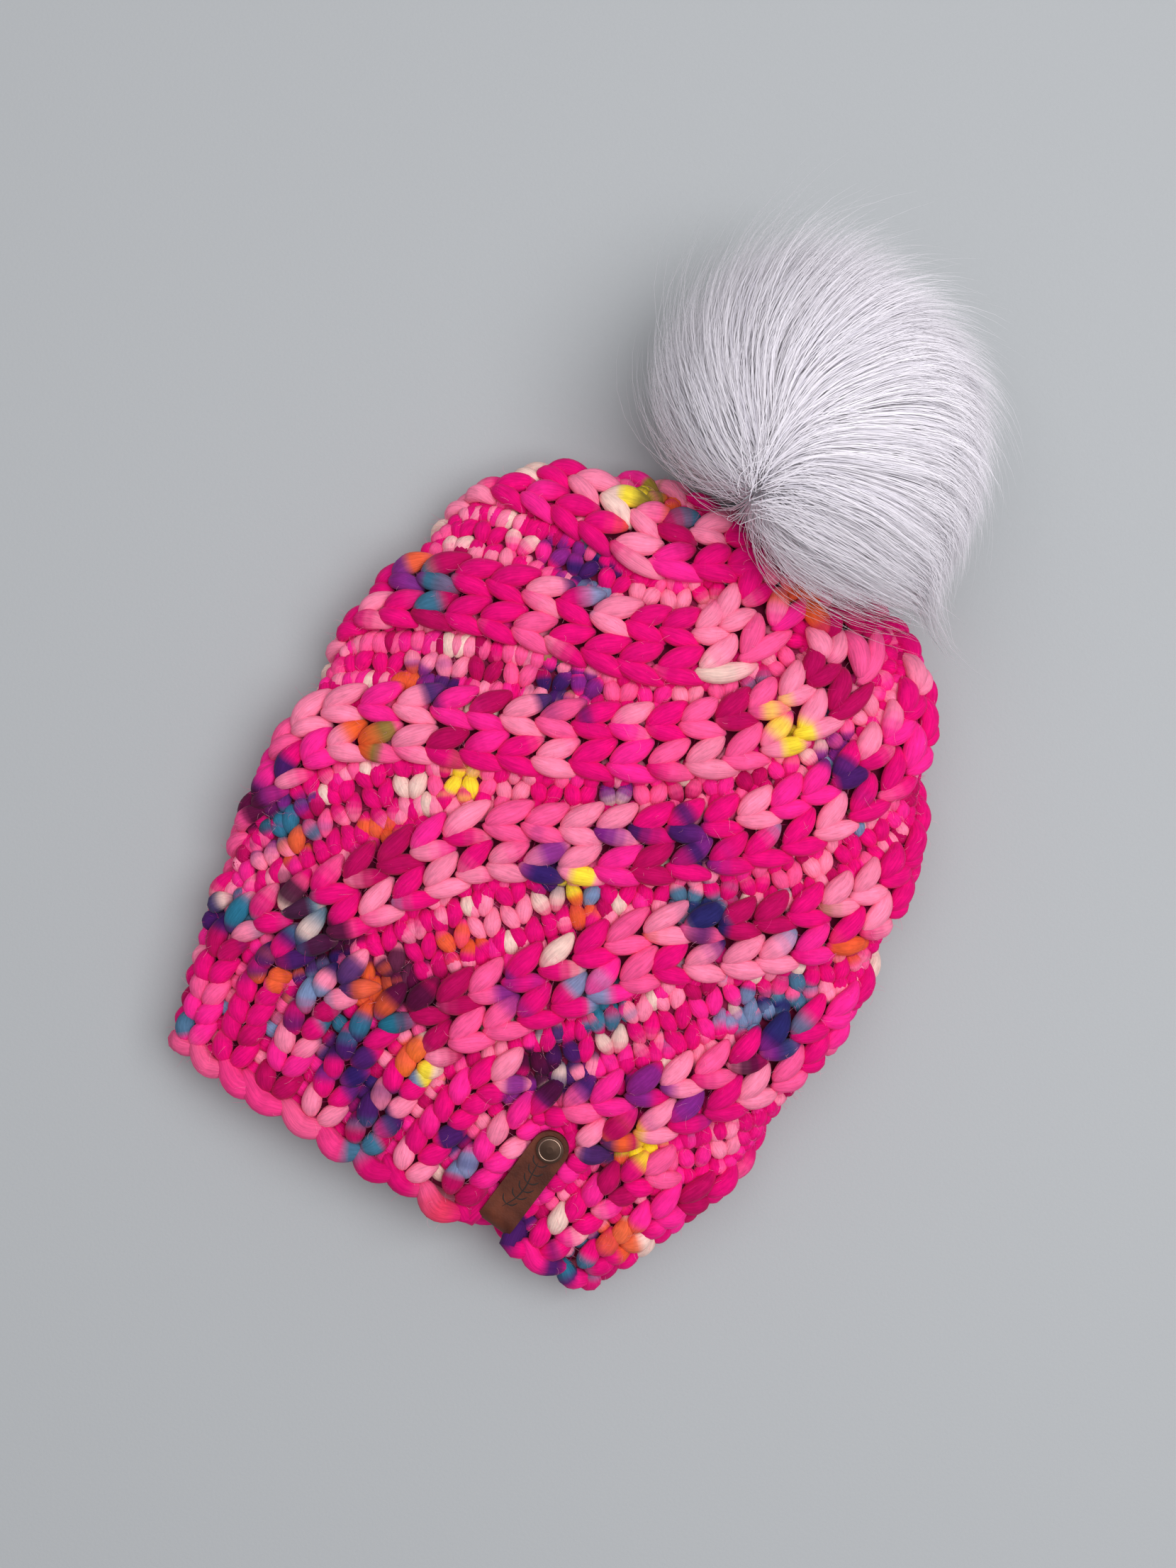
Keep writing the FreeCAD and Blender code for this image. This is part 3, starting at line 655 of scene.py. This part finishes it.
def leaf(stitches, wale, base, tip, thick, lift, row, column, arch=1.1, dip=3.2):
    """One leg of a stitch from its base to its tip, both given along and across a wale.

    base, tip, thick and lift are arrays, one value for each leg.
    """
    t = LEAF_T
    count = len(thick)
    bend = t + 0.04 * np.sin(2 * math.pi * t)
    along = base[0][:, None] + (tip[0] - base[0])[:, None] * t
    across = base[1][:, None] + (tip[1] - base[1])[:, None] * bend
    rise = lift[:, None] + arch * np.sin(math.pi * t) - dip * t**3 - 1.0 * (1 - t)**4
    centres, normals = wale.place(along, across, rise)
    shape = np.sin(math.pi * t ** 0.92) ** 0.6
    shape[0] = shape[-1] = 0
    radius = thick[:, None] / 2 * shape
    centres = clear_of_snap(tuck_into_tag(centres, radius), radius)
    position = (row * STITCHES_ROUND + column)[:, None] * PER_STITCH + t * PER_STITCH * 0.8
    dye = splash(centres, yarn[np.mod(position.astype(int), len(yarn))])
    dye = dye * rng.uniform(0.92, 1.06, (count, 1, 1))
    stitches.add(centres, normals, radius, radius * 0.9, dye)


# The width of a chain of stitches and the steps between its stitches, above the brim and in it;
# the level where the brim ends, and how far its stitches lean, in degrees.
CHAIN = 13.4
V_PITCH = 12.4
BRIM_PITCH = 7.6
BRIM_TOP = 0.17
BRIM_SLOPE = 32


def rows_up(wale, stop):
    """Distances along a wale of its stitches, close in the brim and longer above it."""
    places = [2.5]
    while True:
        s = wale.level(places[-1])
        grown = float(smoothstep(s, BRIM_TOP - 0.03, BRIM_TOP + 0.06))
        squeeze = min(1.0, float(wale.spacing(np.array([places[-1]]))[0]) / (2 * CHAIN))
        step = BRIM_PITCH + (V_PITCH * max(0.62, squeeze) - BRIM_PITCH) * grown
        if wale.level(places[-1] + step) >= stop:
            return np.array(places)
        places.append(places[-1] + step)


def jitter(count, size):
    return rng.uniform(-size, size, count)


def chain(stitches, wale, side, number):
    """One chain of V stitches; side is -1 or 1 for a rib's two chains, 0 for a brim column."""
    places = rows_up(wale, 0.97 if side else BRIM_TOP + 0.035)
    count = len(places)
    grown = smoothstep(wale.level(places), BRIM_TOP - 0.03, BRIM_TOP + 0.06)
    spacing = wale.spacing(places)
    squeeze = np.clip(spacing / (2 * CHAIN), 0.45, 1)
    offset = side * ((1 - grown) * spacing / 6 + grown * np.minimum(CHAIN / 2, spacing / 4))
    length = (12.6 + 4.9 * grown) * np.clip(squeeze, 0.66, 1)
    crest = -3.4 - 1.0 * (1 - grown)
    row = np.arange(count)
    column = np.full(count, number)
    for leg, slope, thick in ((1, 29, 8.0), (-1, 17, 7.1)):
        angle = np.radians(BRIM_SLOPE + (slope - BRIM_SLOPE) * grown + jitter(count, 3.5))
        size = length * (1 + jitter(count, 0.06))
        reach = size * np.sin(angle) * squeeze
        middle = (3.2 + 0.9 * (1 - grown)) * squeeze
        start = places + jitter(count, 0.6) - (leg < 0) * 1.5 * grown
        foot = offset + leg * (middle - reach / 2) + jitter(count, 0.3)
        width = (thick + (7.7 - thick) * (1 - grown)) * squeeze ** 0.6 * (1 + jitter(count, 0.06))
        leaf(stitches, wale, (start, foot), (start + size * np.cos(angle), foot + leg * reach),
             width, crest + jitter(count, 0.4) + (leg > 0) * 0.3, row, column + (leg > 0) * 0.5)


def valley(stitches, wale, number):
    """The recessed knit between two ribs: small stitches that climb across the valley."""
    along = np.arange(BRIM_TOP * GATHER[1] + 12, wale.length[-1] - 20, 11.8)
    spacing = wale.spacing(along)
    width = spacing - 2 * np.minimum(CHAIN, spacing / 2)
    for row in (-2, -1, 0, 1, 2):
        across = row * 7.6
        keep = (np.abs(across) < width / 2 + 6.5) & (width > 2.0)
        places = along[keep]
        count = len(places)
        for leg in (-1, 1):
            start = places + leg * 1.3 + jitter(count, 0.5)
            foot = np.full(count, across - 5.0) + jitter(count, 0.5)
            leaf(stitches, wale, (start, foot), (start + leg * 3.2 + 1.0, foot + 10.5),
                 6.0 * (1 + jitter(count, 0.08)), np.full(count, -8.2) + jitter(count, 0.6),
                 np.round(places / 4.2).astype(int) + row, np.full(count, number), dip=2.0)


def groove_bars(stitches, wale, number):
    """The bars of yarn at the bottom of the grooves, between the columns and beside the ribs."""
    for groove in (-1, 0, 1):
        stop = wale.length[-1] - 22 if groove else BRIM_TOP * GATHER[1] + 8
        along = np.arange(3.0, stop, 5.0)
        count = len(along)
        spacing = wale.spacing(along)
        start = along + jitter(count, 0.6)
        across = groove * spacing / 3 + jitter(count, 0.4)
        leaf(stitches, wale, (start, across - 4.6), (start + 1.4, across + 4.6),
             5.8 * (1 + jitter(count, 0.08)), np.full(count, -8.2) + jitter(count, 0.4),
             np.round(along / 4).astype(int), np.full(count, number), dip=0.8)


INSIDE_COLUMNS = 35


def make_inside():
    """The purl side of the knit, seen through the mouth: short bars in close rows."""
    thirds = [Stitches() for _ in range(3)]
    for column in range(INSIDE_COLUMNS):
        stitches = thirds[3 * column // INSIDE_COLUMNS]
        wale = Wale((column + 0.5) / INSIDE_COLUMNS)
        along = np.arange(4.0 + 3.0 * (column % 2), wale.length[-1] - 30, 6.6)
        count = len(along)
        across = jitter(count, 0.5)
        leaf(stitches, wale, (along, across - 6.0), (along + 1.2, across + 6.0),
             5.2 * (1 + jitter(count, 0.08)), np.full(count, -12.4) + jitter(count, 0.3),
             np.round(along / 6).astype(int), np.full(count, column), arch=-0.8, dip=-0.6)
    return [third.make(f"knit_inside_{i}", fuzzy=False) for i, third in enumerate(thirds)]


def make_knit():
    """The knit: seven pairs of rib chains, the brim's other columns and the valleys."""
    pieces = []
    for rib in range(RIBS):
        wale = Wale(FIRST_RIB + rib / RIBS)
        stitches = Stitches()
        for side in (-1, 1):
            chain(stitches, wale, side, 5 * rib + side)
        groove_bars(stitches, wale, 5 * rib + 4)
        pieces.append(stitches.make(f"knit_rib_{rib}"))
        between = Wale(FIRST_RIB + (rib + 0.5) / RIBS)
        stitches = Stitches()
        chain(stitches, between, 0, 5 * rib + 3)
        valley(stitches, between, 5 * rib + 3)
        pieces.append(stitches.make(f"knit_valley_{rib}"))
    return pieces


def make_backing():
    """The knit's inner layer, a continuous sheet behind the stitches, in dark pink: painted shade where
    it shows between them.
    """
    rounds = 180
    levels = 90
    a, s = np.meshgrid(np.linspace(0, 1, rounds, endpoint=False), np.linspace(0.012, 0.985, levels))
    normal = bag.normal(a, s)
    outer, inner = (bag.point(a, s) + depth * normal for depth in (-9.5, -11.5))
    points = np.concatenate([outer, inner[::-1]]).reshape(-1, 3)
    points[:, 2] = np.maximum(points[:, 2], FLOOR_GAP)
    faces = ring_faces(2 * levels, rounds)[:, ::-1]
    piece = new_object("knit_shade_backing", (points + HAT_ORIGIN) * MM, [faces], backing_shade, "hat")
    return piece


def make_cast_on():
    """The cast-on edge: a rope of long soft bumps along the brim."""
    count = 27
    stitches = Stitches()
    share = (np.arange(count) + 0.5 + jitter(count, 0.16)) / count
    t = LEAF_T
    a = share[:, None] + (t - 0.5) * 1.5 * (1 + jitter(count, 0.12))[:, None] / count
    slant = 0.007 * np.cos(2 * math.pi * t) - (0.012 + jitter(count, 0.01))[:, None] * (t - 0.5)
    s = 0.002 + slant + jitter(count, 0.003)[:, None]
    lift = -5.5 + 1.2 * np.sin(math.pi * t) + jitter(count, 0.7)[:, None]
    normal = bag.normal(a, s)
    shape = np.sin(math.pi * t) ** 0.5
    shape[0] = shape[-1] = 0
    radius = 4.2 * (1 + jitter(count, 0.14))[:, None] * shape
    centres = tuck_into_tag(bag.point(a, s) + lift[..., None] * normal, radius)
    position = (share * 45)[:, None] * PER_STITCH + t * PER_STITCH + 300
    dye = splash(centres, yarn[np.mod(position.astype(int), len(yarn))] * 0.4 + 0.6 * HOT)
    stitches.add(centres, normal, radius, radius * 1.05, dye)
    return stitches.make("cast_on_edge")


def make_fuzz(number, roots, material):
    """Stray fibres that stand off the yarn in loose curls."""
    steps = 6
    count = len(roots)
    start, out, along = roots[:, 0], roots[:, 1], roots[:, 2]
    length = rng.uniform(2, 6.5, count)
    way = unit(0.55 * out + along * rng.uniform(-1, 1, (count, 1)) + 0.5 * rng.normal(size=(count, 3)))
    bend = unit(np.cross(way, rng.normal(size=(count, 3))))
    curl = rng.uniform(0.5, 2.6, (count, 1))
    path = [start - 0.3 * out]
    for i in range(steps):
        turn = curl * i / steps
        step = way * np.cos(turn) + bend * np.sin(turn)
        path.append(path[-1] + step * (length / steps)[:, None])
    path = np.stack(path, 1)
    path[..., 2] = np.maximum(path[..., 2], 0.3)
    radius = np.broadcast_to(np.linspace(0.036, 0.018, steps + 1), path.shape[:2])
    normals = np.broadcast_to(out[:, None], path.shape)
    verts = tubes(path, normals, radius, radius, 3)
    piece = tube_object(f"knit_fuzz_{number}", (verts + HAT_ORIGIN) * MM, steps - 1, 3, material, "hat")
    return piece


FUZZ_FIBRES = 30000


def make_all_fuzz():
    """The stray fibres, clear of the tag and off the floor, shared out over two shades of pink."""
    roots = np.concatenate(Stitches.fuzz)
    local = in_tag(roots[:, 0])
    beside = np.abs(local[:, 0]) > TAG_HALF_WIDTH + 2.5
    clear = beside | (local[:, 1] > TAG_LENGTH + 3) | (local[:, 2] < -3)
    roots = roots[clear & (roots[:, 0, 2] > 1.5)]
    roots = roots[rng.permutation(len(roots))[:FUZZ_FIBRES]]
    shades = (fuzz_pink, fuzz_pale, fuzz_pink, fuzz_pale, fuzz_pink)
    return [make_fuzz(i, part, shades[i]) for i, part in enumerate(np.array_split(roots, len(shades)))]


knit = make_knit() + [make_backing(), make_cast_on()] + make_inside() + make_all_fuzz()
for piece in knit:
    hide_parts("knit_shell")


# ---------------------------------------------------------------- pom pom

fill_low, fill_high = (np.array(v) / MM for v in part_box("pom_fill"))
CORE = (fill_low + fill_high) / 2
CORE_RADIUS = (fill_high - fill_low)[0] / 2
gather_low, gather_high = (np.array(v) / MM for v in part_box("pom_gather_thread"))
FOOT = (gather_low + gather_high) / 2
AXIS = unit(CORE - FOOT)

# The way the fur is combed, seen from above: places in the hat's frame and headings in degrees.
COMBED = np.array([
    (-63, 299, 124), (-54, 317, 104), (-44, 273, 144), (-37, 284, 118), (-27, 302, 84),
    (-32, 332, 78), (-18, 350, 62), (-3, 303, 50), (8, 348, 30), (26, 327, 12), (46, 320, -20),
    (62, 298, -34), (20, 286, 24), (37, 277, -2), (59, 272, -48), (-10, 262, 62), (-22, 261, 132),
    (8, 263, 14), (31, 266, -16),
])


def fur_flow(points):
    """The way the combed fur runs at points in the part's frame."""
    place = points[..., :2] - HAT_ORIGIN[:2]
    apart = ((place[..., None, :] - COMBED[:, :2]) ** 2).sum(-1)
    weight = 1 / (apart + 80) ** 1.5
    heading = np.radians(COMBED[:, 2])
    run = unit(np.stack([(weight * np.cos(heading)).sum(-1), (weight * np.sin(heading)).sum(-1)], -1))
    return np.concatenate([run, np.zeros_like(run[..., :1])], -1)


def comb(roots, length, stand, steps):
    """Paths of hairs from their roots: they leave the ball and bend along the flow."""
    path = [roots]
    for i in range(steps):
        t = i / (steps - 1)
        point = path[-1]
        out = unit(point - CORE)
        flow = fur_flow(point)
        flow = unit(flow - 0.8 * (flow * out).sum(-1, keepdims=True) * out)
        lean = stand * (1 - t) ** 1.3 + 0.16 * t
        step = unit(lean[:, None] * out + (1 - lean)[:, None] * flow)
        path.append(point + step * (length / steps)[:, None])
    return np.stack(path, 1)


def scatter_on_core(count, generator):
    """Root directions all over the core but the gathered foot."""
    directions = unit(generator.normal(size=(count * 2, 3)))
    return directions[directions @ AXIS > -0.9][:count]


FUR_STEPS = 8
FUR_LIFT = [0, 0, 14]


def trim(ways):
    """How much of its length a hair keeps: less on the pom pom's far and right sides."""
    return 1 - 0.31 * smoothstep(0.6 * ways[:, 0] + 0.8 * ways[:, 1], -0.55, 0.5)


def make_fur(name, count, material, seed, reach, thick, guides):
    """Fur strands in locks: each follows its nearest guide hair more closely towards its tip."""
    generator = np.random.default_rng(seed)
    guide_ways, guide_paths = guides
    ways = scatter_on_core(count, generator)
    grown = generator.uniform(*reach, count) * np.where(generator.random(count) < 0.1, 1.3, 1.0)
    path = comb(CORE + ways * (CORE_RADIUS - 0.5), grown * trim(ways),
                generator.uniform(0.5, 0.85, count), FUR_STEPS)
    nearest = np.concatenate([
        np.argmax(block @ guide_ways.T, axis=1) for block in np.array_split(ways, 20)])
    t = np.linspace(0, 1, FUR_STEPS + 1)
    pull = (generator.uniform(0.1, 0.65, count)[:, None] * t**1.2)[..., None]
    path = path * (1 - pull) + guide_paths[nearest] * pull
    loose = 2.3 + 2.8 * smoothstep(-ways[:, 0] + 0.6 * ways[:, 1], 0.2, 1.0)
    path = path + generator.normal(size=(count, 1, 3)) * (t**1.5)[None, :, None] * loose[:, None, None]
    path[..., 2] = np.maximum(path[..., 2], 1.0)
    radius = thick / 2 * np.broadcast_to((1 - t**2) * 0.92 + 0.08, path.shape[:2])
    out = unit(path - CORE + FUR_LIFT)
    verts = tubes(path, out, radius, radius * 0.4, 3)
    piece = tube_object(name, verts * MM, FUR_STEPS - 1, 3, material, "pom")
    piece.data.normals_split_custom_set_from_vertices(unit(verts - CORE + FUR_LIFT).reshape(-1, 3))
    return piece


def make_pom():
    """The fur, in shades and lengths that lie through each other."""
    generator = np.random.default_rng(7)
    ways = scatter_on_core(520, generator)
    paths = comb(CORE + ways * (CORE_RADIUS - 0.5), generator.uniform(42, 66, len(ways)) * trim(ways),
                 generator.uniform(0.55, 0.85, len(ways)), FUR_STEPS)
    paths[..., 2] = np.maximum(paths[..., 2], 1.0)
    for number, (material, reach, thick, count) in enumerate((
        (fur_white, (38, 60), 0.40, 4600), (fur_cool, (36, 56), 0.40, 4600),
        (fur_white, (40, 66), 0.34, 4600), (fur_cool, (32, 50), 0.42, 4600),
        (fur_white, (40, 64), 0.34, 4600), (fur_white, (26, 40), 0.50, 4600),
        (fur_white, (34, 58), 0.36, 4600), (fur_white, (50, 76), 0.26, 2400),
    )):
        piece = make_fur(f"pom_fur_{number}", count, material, 40 + number, reach, thick, (ways, paths))
        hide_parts("pom_fur")


make_pom()


def make_pom_core():
    """The stuffed ball inside the fur, a little uneven like teased fibre."""
    rows = 40
    columns = 64
    radius = CORE_RADIUS - 1.2
    polar, round_ = np.meshgrid(np.linspace(0, math.pi, rows + 2)[1:-1],
                                np.linspace(0, 2 * math.pi, columns, endpoint=False), indexing="ij")
    out = np.stack([np.sin(polar) * np.cos(round_), np.sin(polar) * np.sin(round_), np.cos(polar)], -1)
    bumps = 0.5 * np.sin(7 * out[..., 0] + 3 * out[..., 1]) * np.sin(6 * out[..., 2] - 2 * out[..., 1])
    ring = CORE + out * (radius + bumps)[..., None]
    top = CORE + [0, 0, radius]
    bottom = CORE - [0, 0, radius]
    verts = np.concatenate([top[None], ring.reshape(-1, 3), bottom[None]])[None]
    piece = tube_object("pom_stuffing", verts * MM, rows, columns, fur_cool, "pom")
    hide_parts("pom_fill")
    return piece


make_pom_core()


# ---------------------------------------------------------------- the small hard parts

def dress(node, material):
    """Gives a CAD node that keeps its shape its procedural material."""
    materials = frame["nodes"][node].data.materials
    materials.clear()
    materials.append(material)


def ring_object(name, path, radius, material, body, segments=8):
    """A closed ring of yarn, thread or metal along a path of points in millimetres."""
    step = unit(np.roll(path, -1, 0) - np.roll(path, 1, 0))
    side = unit(np.cross(step, path - path.mean(0)))
    out = np.cross(side, step)
    angle = np.linspace(0, 2 * math.pi, segments, endpoint=False)[:, None]
    points = path[:, None] + radius * (np.cos(angle) * side[:, None] + np.sin(angle) * out[:, None])
    faces = [ring_faces(len(path), segments)]
    return new_object(name, points.reshape(-1, 3) * MM, faces, material, body)


def circle(centre, right, up, radius, count):
    """Points round a circle in the plane of two axes, with the turn to each."""
    turn = np.linspace(0, 2 * math.pi, count, endpoint=False)[:, None]
    return centre + radius * (np.cos(turn) * right + np.sin(turn) * up), turn


def make_drawstring():
    """The crown's drawstring: two plies of yarn twisted round each other."""
    low, high, inner, outer = turned_span("crown_drawstring")
    centre = PIVOT + SNAP_AXIS * (low + high) / 2
    twists = 16
    ply = (outer - inner) / 4
    path, turn = circle(centre, SNAP_RIGHT, SNAP_UP, (inner + outer) / 2, 320)
    out = unit(path - centre)
    for number in range(2):
        phase = twists * turn + number * math.pi
        strand = path + ply * (np.cos(phase) * out + np.sin(phase) * SNAP_AXIS)
        piece = ring_object(f"drawstring_ply_{number}", strand, ply, plied_yarn, "hat")
        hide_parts("crown_drawstring")


def make_felt():
    """The felt disc: soft edge, slightly uneven faces, with whip stitches round its rim."""
    low, high, inner, outer = turned_span("pom_backing")
    segments = 72
    half = (high - low) / 2
    centre = PIVOT + SNAP_AXIS * (low + high) / 2
    radii = np.r_[inner, np.linspace(inner + 1, outer - 0.5, 9), outer]
    heights = np.r_[0.4, np.full(9, 1.0), 0.4] * half
    profile = np.r_[np.stack([radii, -heights], 1), np.stack([radii, heights], 1)[::-1]]
    turn = np.linspace(0, 2 * math.pi, segments, endpoint=False)
    spokes = np.cos(turn)[:, None] * SNAP_RIGHT + np.sin(turn)[:, None] * SNAP_UP
    wobble = 1 + 0.006 * np.sin(9 * turn) + 0.005 * np.sin(23 * turn + 1)
    points = (centre + profile[:, None, :1] * (wobble[:, None] * spokes)[None]
              + profile[:, None, 1:] * SNAP_AXIS)
    faces = ring_faces(len(profile), segments)[:, ::-1]
    piece = new_object("pom_felt_disc", points.reshape(-1, 3) * MM, [faces], felt, "pom")
    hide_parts("pom_backing")
    for number in range(12):
        spoke = math.cos(number * math.pi / 6) * SNAP_RIGHT + math.sin(number * math.pi / 6) * SNAP_UP
        middle = centre + spoke * (outer - 1.2)
        loop, _ = circle(middle, spoke, SNAP_AXIS, 1.25, 20)
        stitch = ring_object(f"felt_stitch_{number}", loop, 0.22, thread, "pom", 6)


def make_tag_mark():
    """A plain sprig burnt into the tag, and a rim round the rivet in lighter bronze: a painted
    highlight.
    """
    face = in_tag(node_points("leather_tag") - HAT_ORIGIN)[:, 2].max()
    stem = [(-1.6, 2.5), (0.6, 8), (1.0, 13), (0.2, 18), (-0.6, 23.2)]
    curve, _, _ = rolling_curve([(x, y, face) for x, y in stem], 6)
    strokes = [curve]
    for number in range(6):
        root = curve[2 + 4 * number]
        for side in (-1, 1):
            tip = root + [side * 3.0, 2.6, 0]
            strokes.append(rolling_curve([root, root + [side * 1.9, 0.8, 0], tip], 6)[0])
    for number, stroke in enumerate(strokes):
        radius = 0.26 * np.sin(np.linspace(0, math.pi, len(stroke))) ** 0.4
        up = np.broadcast_to([0.0, 0, 1], stroke.shape)
        verts = tubes(stroke[None], up[None], radius[None], 0.35 * radius[None], 8)
        place = verts[0] @ TAG_TURN.T + TAG_SPOT + HAT_ORIGIN
        piece = tube_object(f"tag_mark_{number}", place[None] * MM, len(stroke) - 2, 8, burnt, "hat")
    across = np.array([1.0, 0, 0])
    along = np.array([0, 1.0, 0])
    rim, _ = circle(np.array([0, RIVET_ALONG, face + 1.05]), across, along, 3.7, 64)
    rim = rim @ TAG_TURN.T + TAG_SPOT + HAT_ORIGIN
    # The rim's lighter bronze is a painted highlight.
    ring_object("rivet_rim", rim, 0.3, painted_highlight_bronze, "hat")


leather = leather_material()
burnt = plain_material("burnt_leather", linear(24, 12, 10), 0.7)
bronze = plain_material("antique_bronze", linear(92, 70, 60), 0.38, metallic=1.0)
# Lighter bronze for the rivet's rim: a painted highlight on the metal.
painted_highlight_bronze = plain_material("painted_highlight_bronze", linear(168, 140, 124), 0.3, metallic=1.0)
nickel = plain_material("nickel", linear(200, 198, 194), 0.3, metallic=1.0)
thread = plain_material("thread", linear(225, 222, 218), 0.7)
felt = plain_material("felt", linear(220, 217, 220), 0.95, 0.4)
plied_yarn = plain_material("plied_yarn", linear(236, 30, 124), 0.9)
for node, material in (("leather_tag", leather), ("rivet_cap", bronze), ("rivet_post", bronze),
                       ("snap_socket", nickel), ("snap_spring", nickel), ("snap_stud", nickel),
                       ("socket_thread", thread), ("stud_thread", thread),
                       ("pom_gather_thread", thread)):
    dress(node, material)
make_drawstring()
make_felt()
make_tag_mark()


# ---------------------------------------------------------------- floor, light and camera

def make_floor():
    """The pale surface that the beanie lies on."""
    bpy.ops.mesh.primitive_plane_add(size=6, location=(0, 0, 0))
    floor = bpy.context.object
    floor.name = "floor"
    material = plain_material("pale_floor", linear(172, 175, 178), 0.85)
    floor.data.materials.append(material)


def make_light(name, place, target, size, power):
    """A square light that faces its target."""
    data = bpy.data.lights.new(name, "AREA")
    data.size = size
    data.energy = power
    light = bpy.data.objects.new(name, data)
    bpy.context.scene.collection.objects.link(light)
    light.location = place
    light.rotation_mode = "QUATERNION"
    light.rotation_quaternion = (Vector(target) - Vector(place)).to_track_quat("-Z", "Y")


def make_camera():
    """The photograph's view: straight down, turned so that the hat lies across the picture."""
    data = bpy.data.cameras.new("camera")
    data.lens = 46.1
    data.clip_start = 0.01
    data.clip_end = 20
    camera = bpy.data.objects.new("camera", data)
    bpy.context.scene.collection.objects.link(camera)
    camera.location = ((-9 + HAT_ORIGIN[0]) * MM, (150 + HAT_ORIGIN[1]) * MM, 0.720)
    camera.rotation_euler = (0, 0, math.atan2(0.51, 0.86))
    bpy.context.scene.camera = camera


def make_world():
    """Soft even light from all round."""
    world = bpy.data.worlds.new("studio")
    world.use_nodes = True
    world.node_tree.nodes["Background"].inputs["Color"].default_value = (0.97, 0.97, 1.0, 1)
    world.node_tree.nodes["Background"].inputs["Strength"].default_value = 0.36
    bpy.context.scene.world = world


make_floor()
make_world()
make_camera()
make_light("window", (0.45, 0.30, 1.35), (0, 0, 0), 1.0, 15.5)
make_light("overhead", (-0.45, 0.35, 1.6), (0, 0, 0), 1.4, 7.5)
bpy.context.scene.view_settings.view_transform = "Standard"
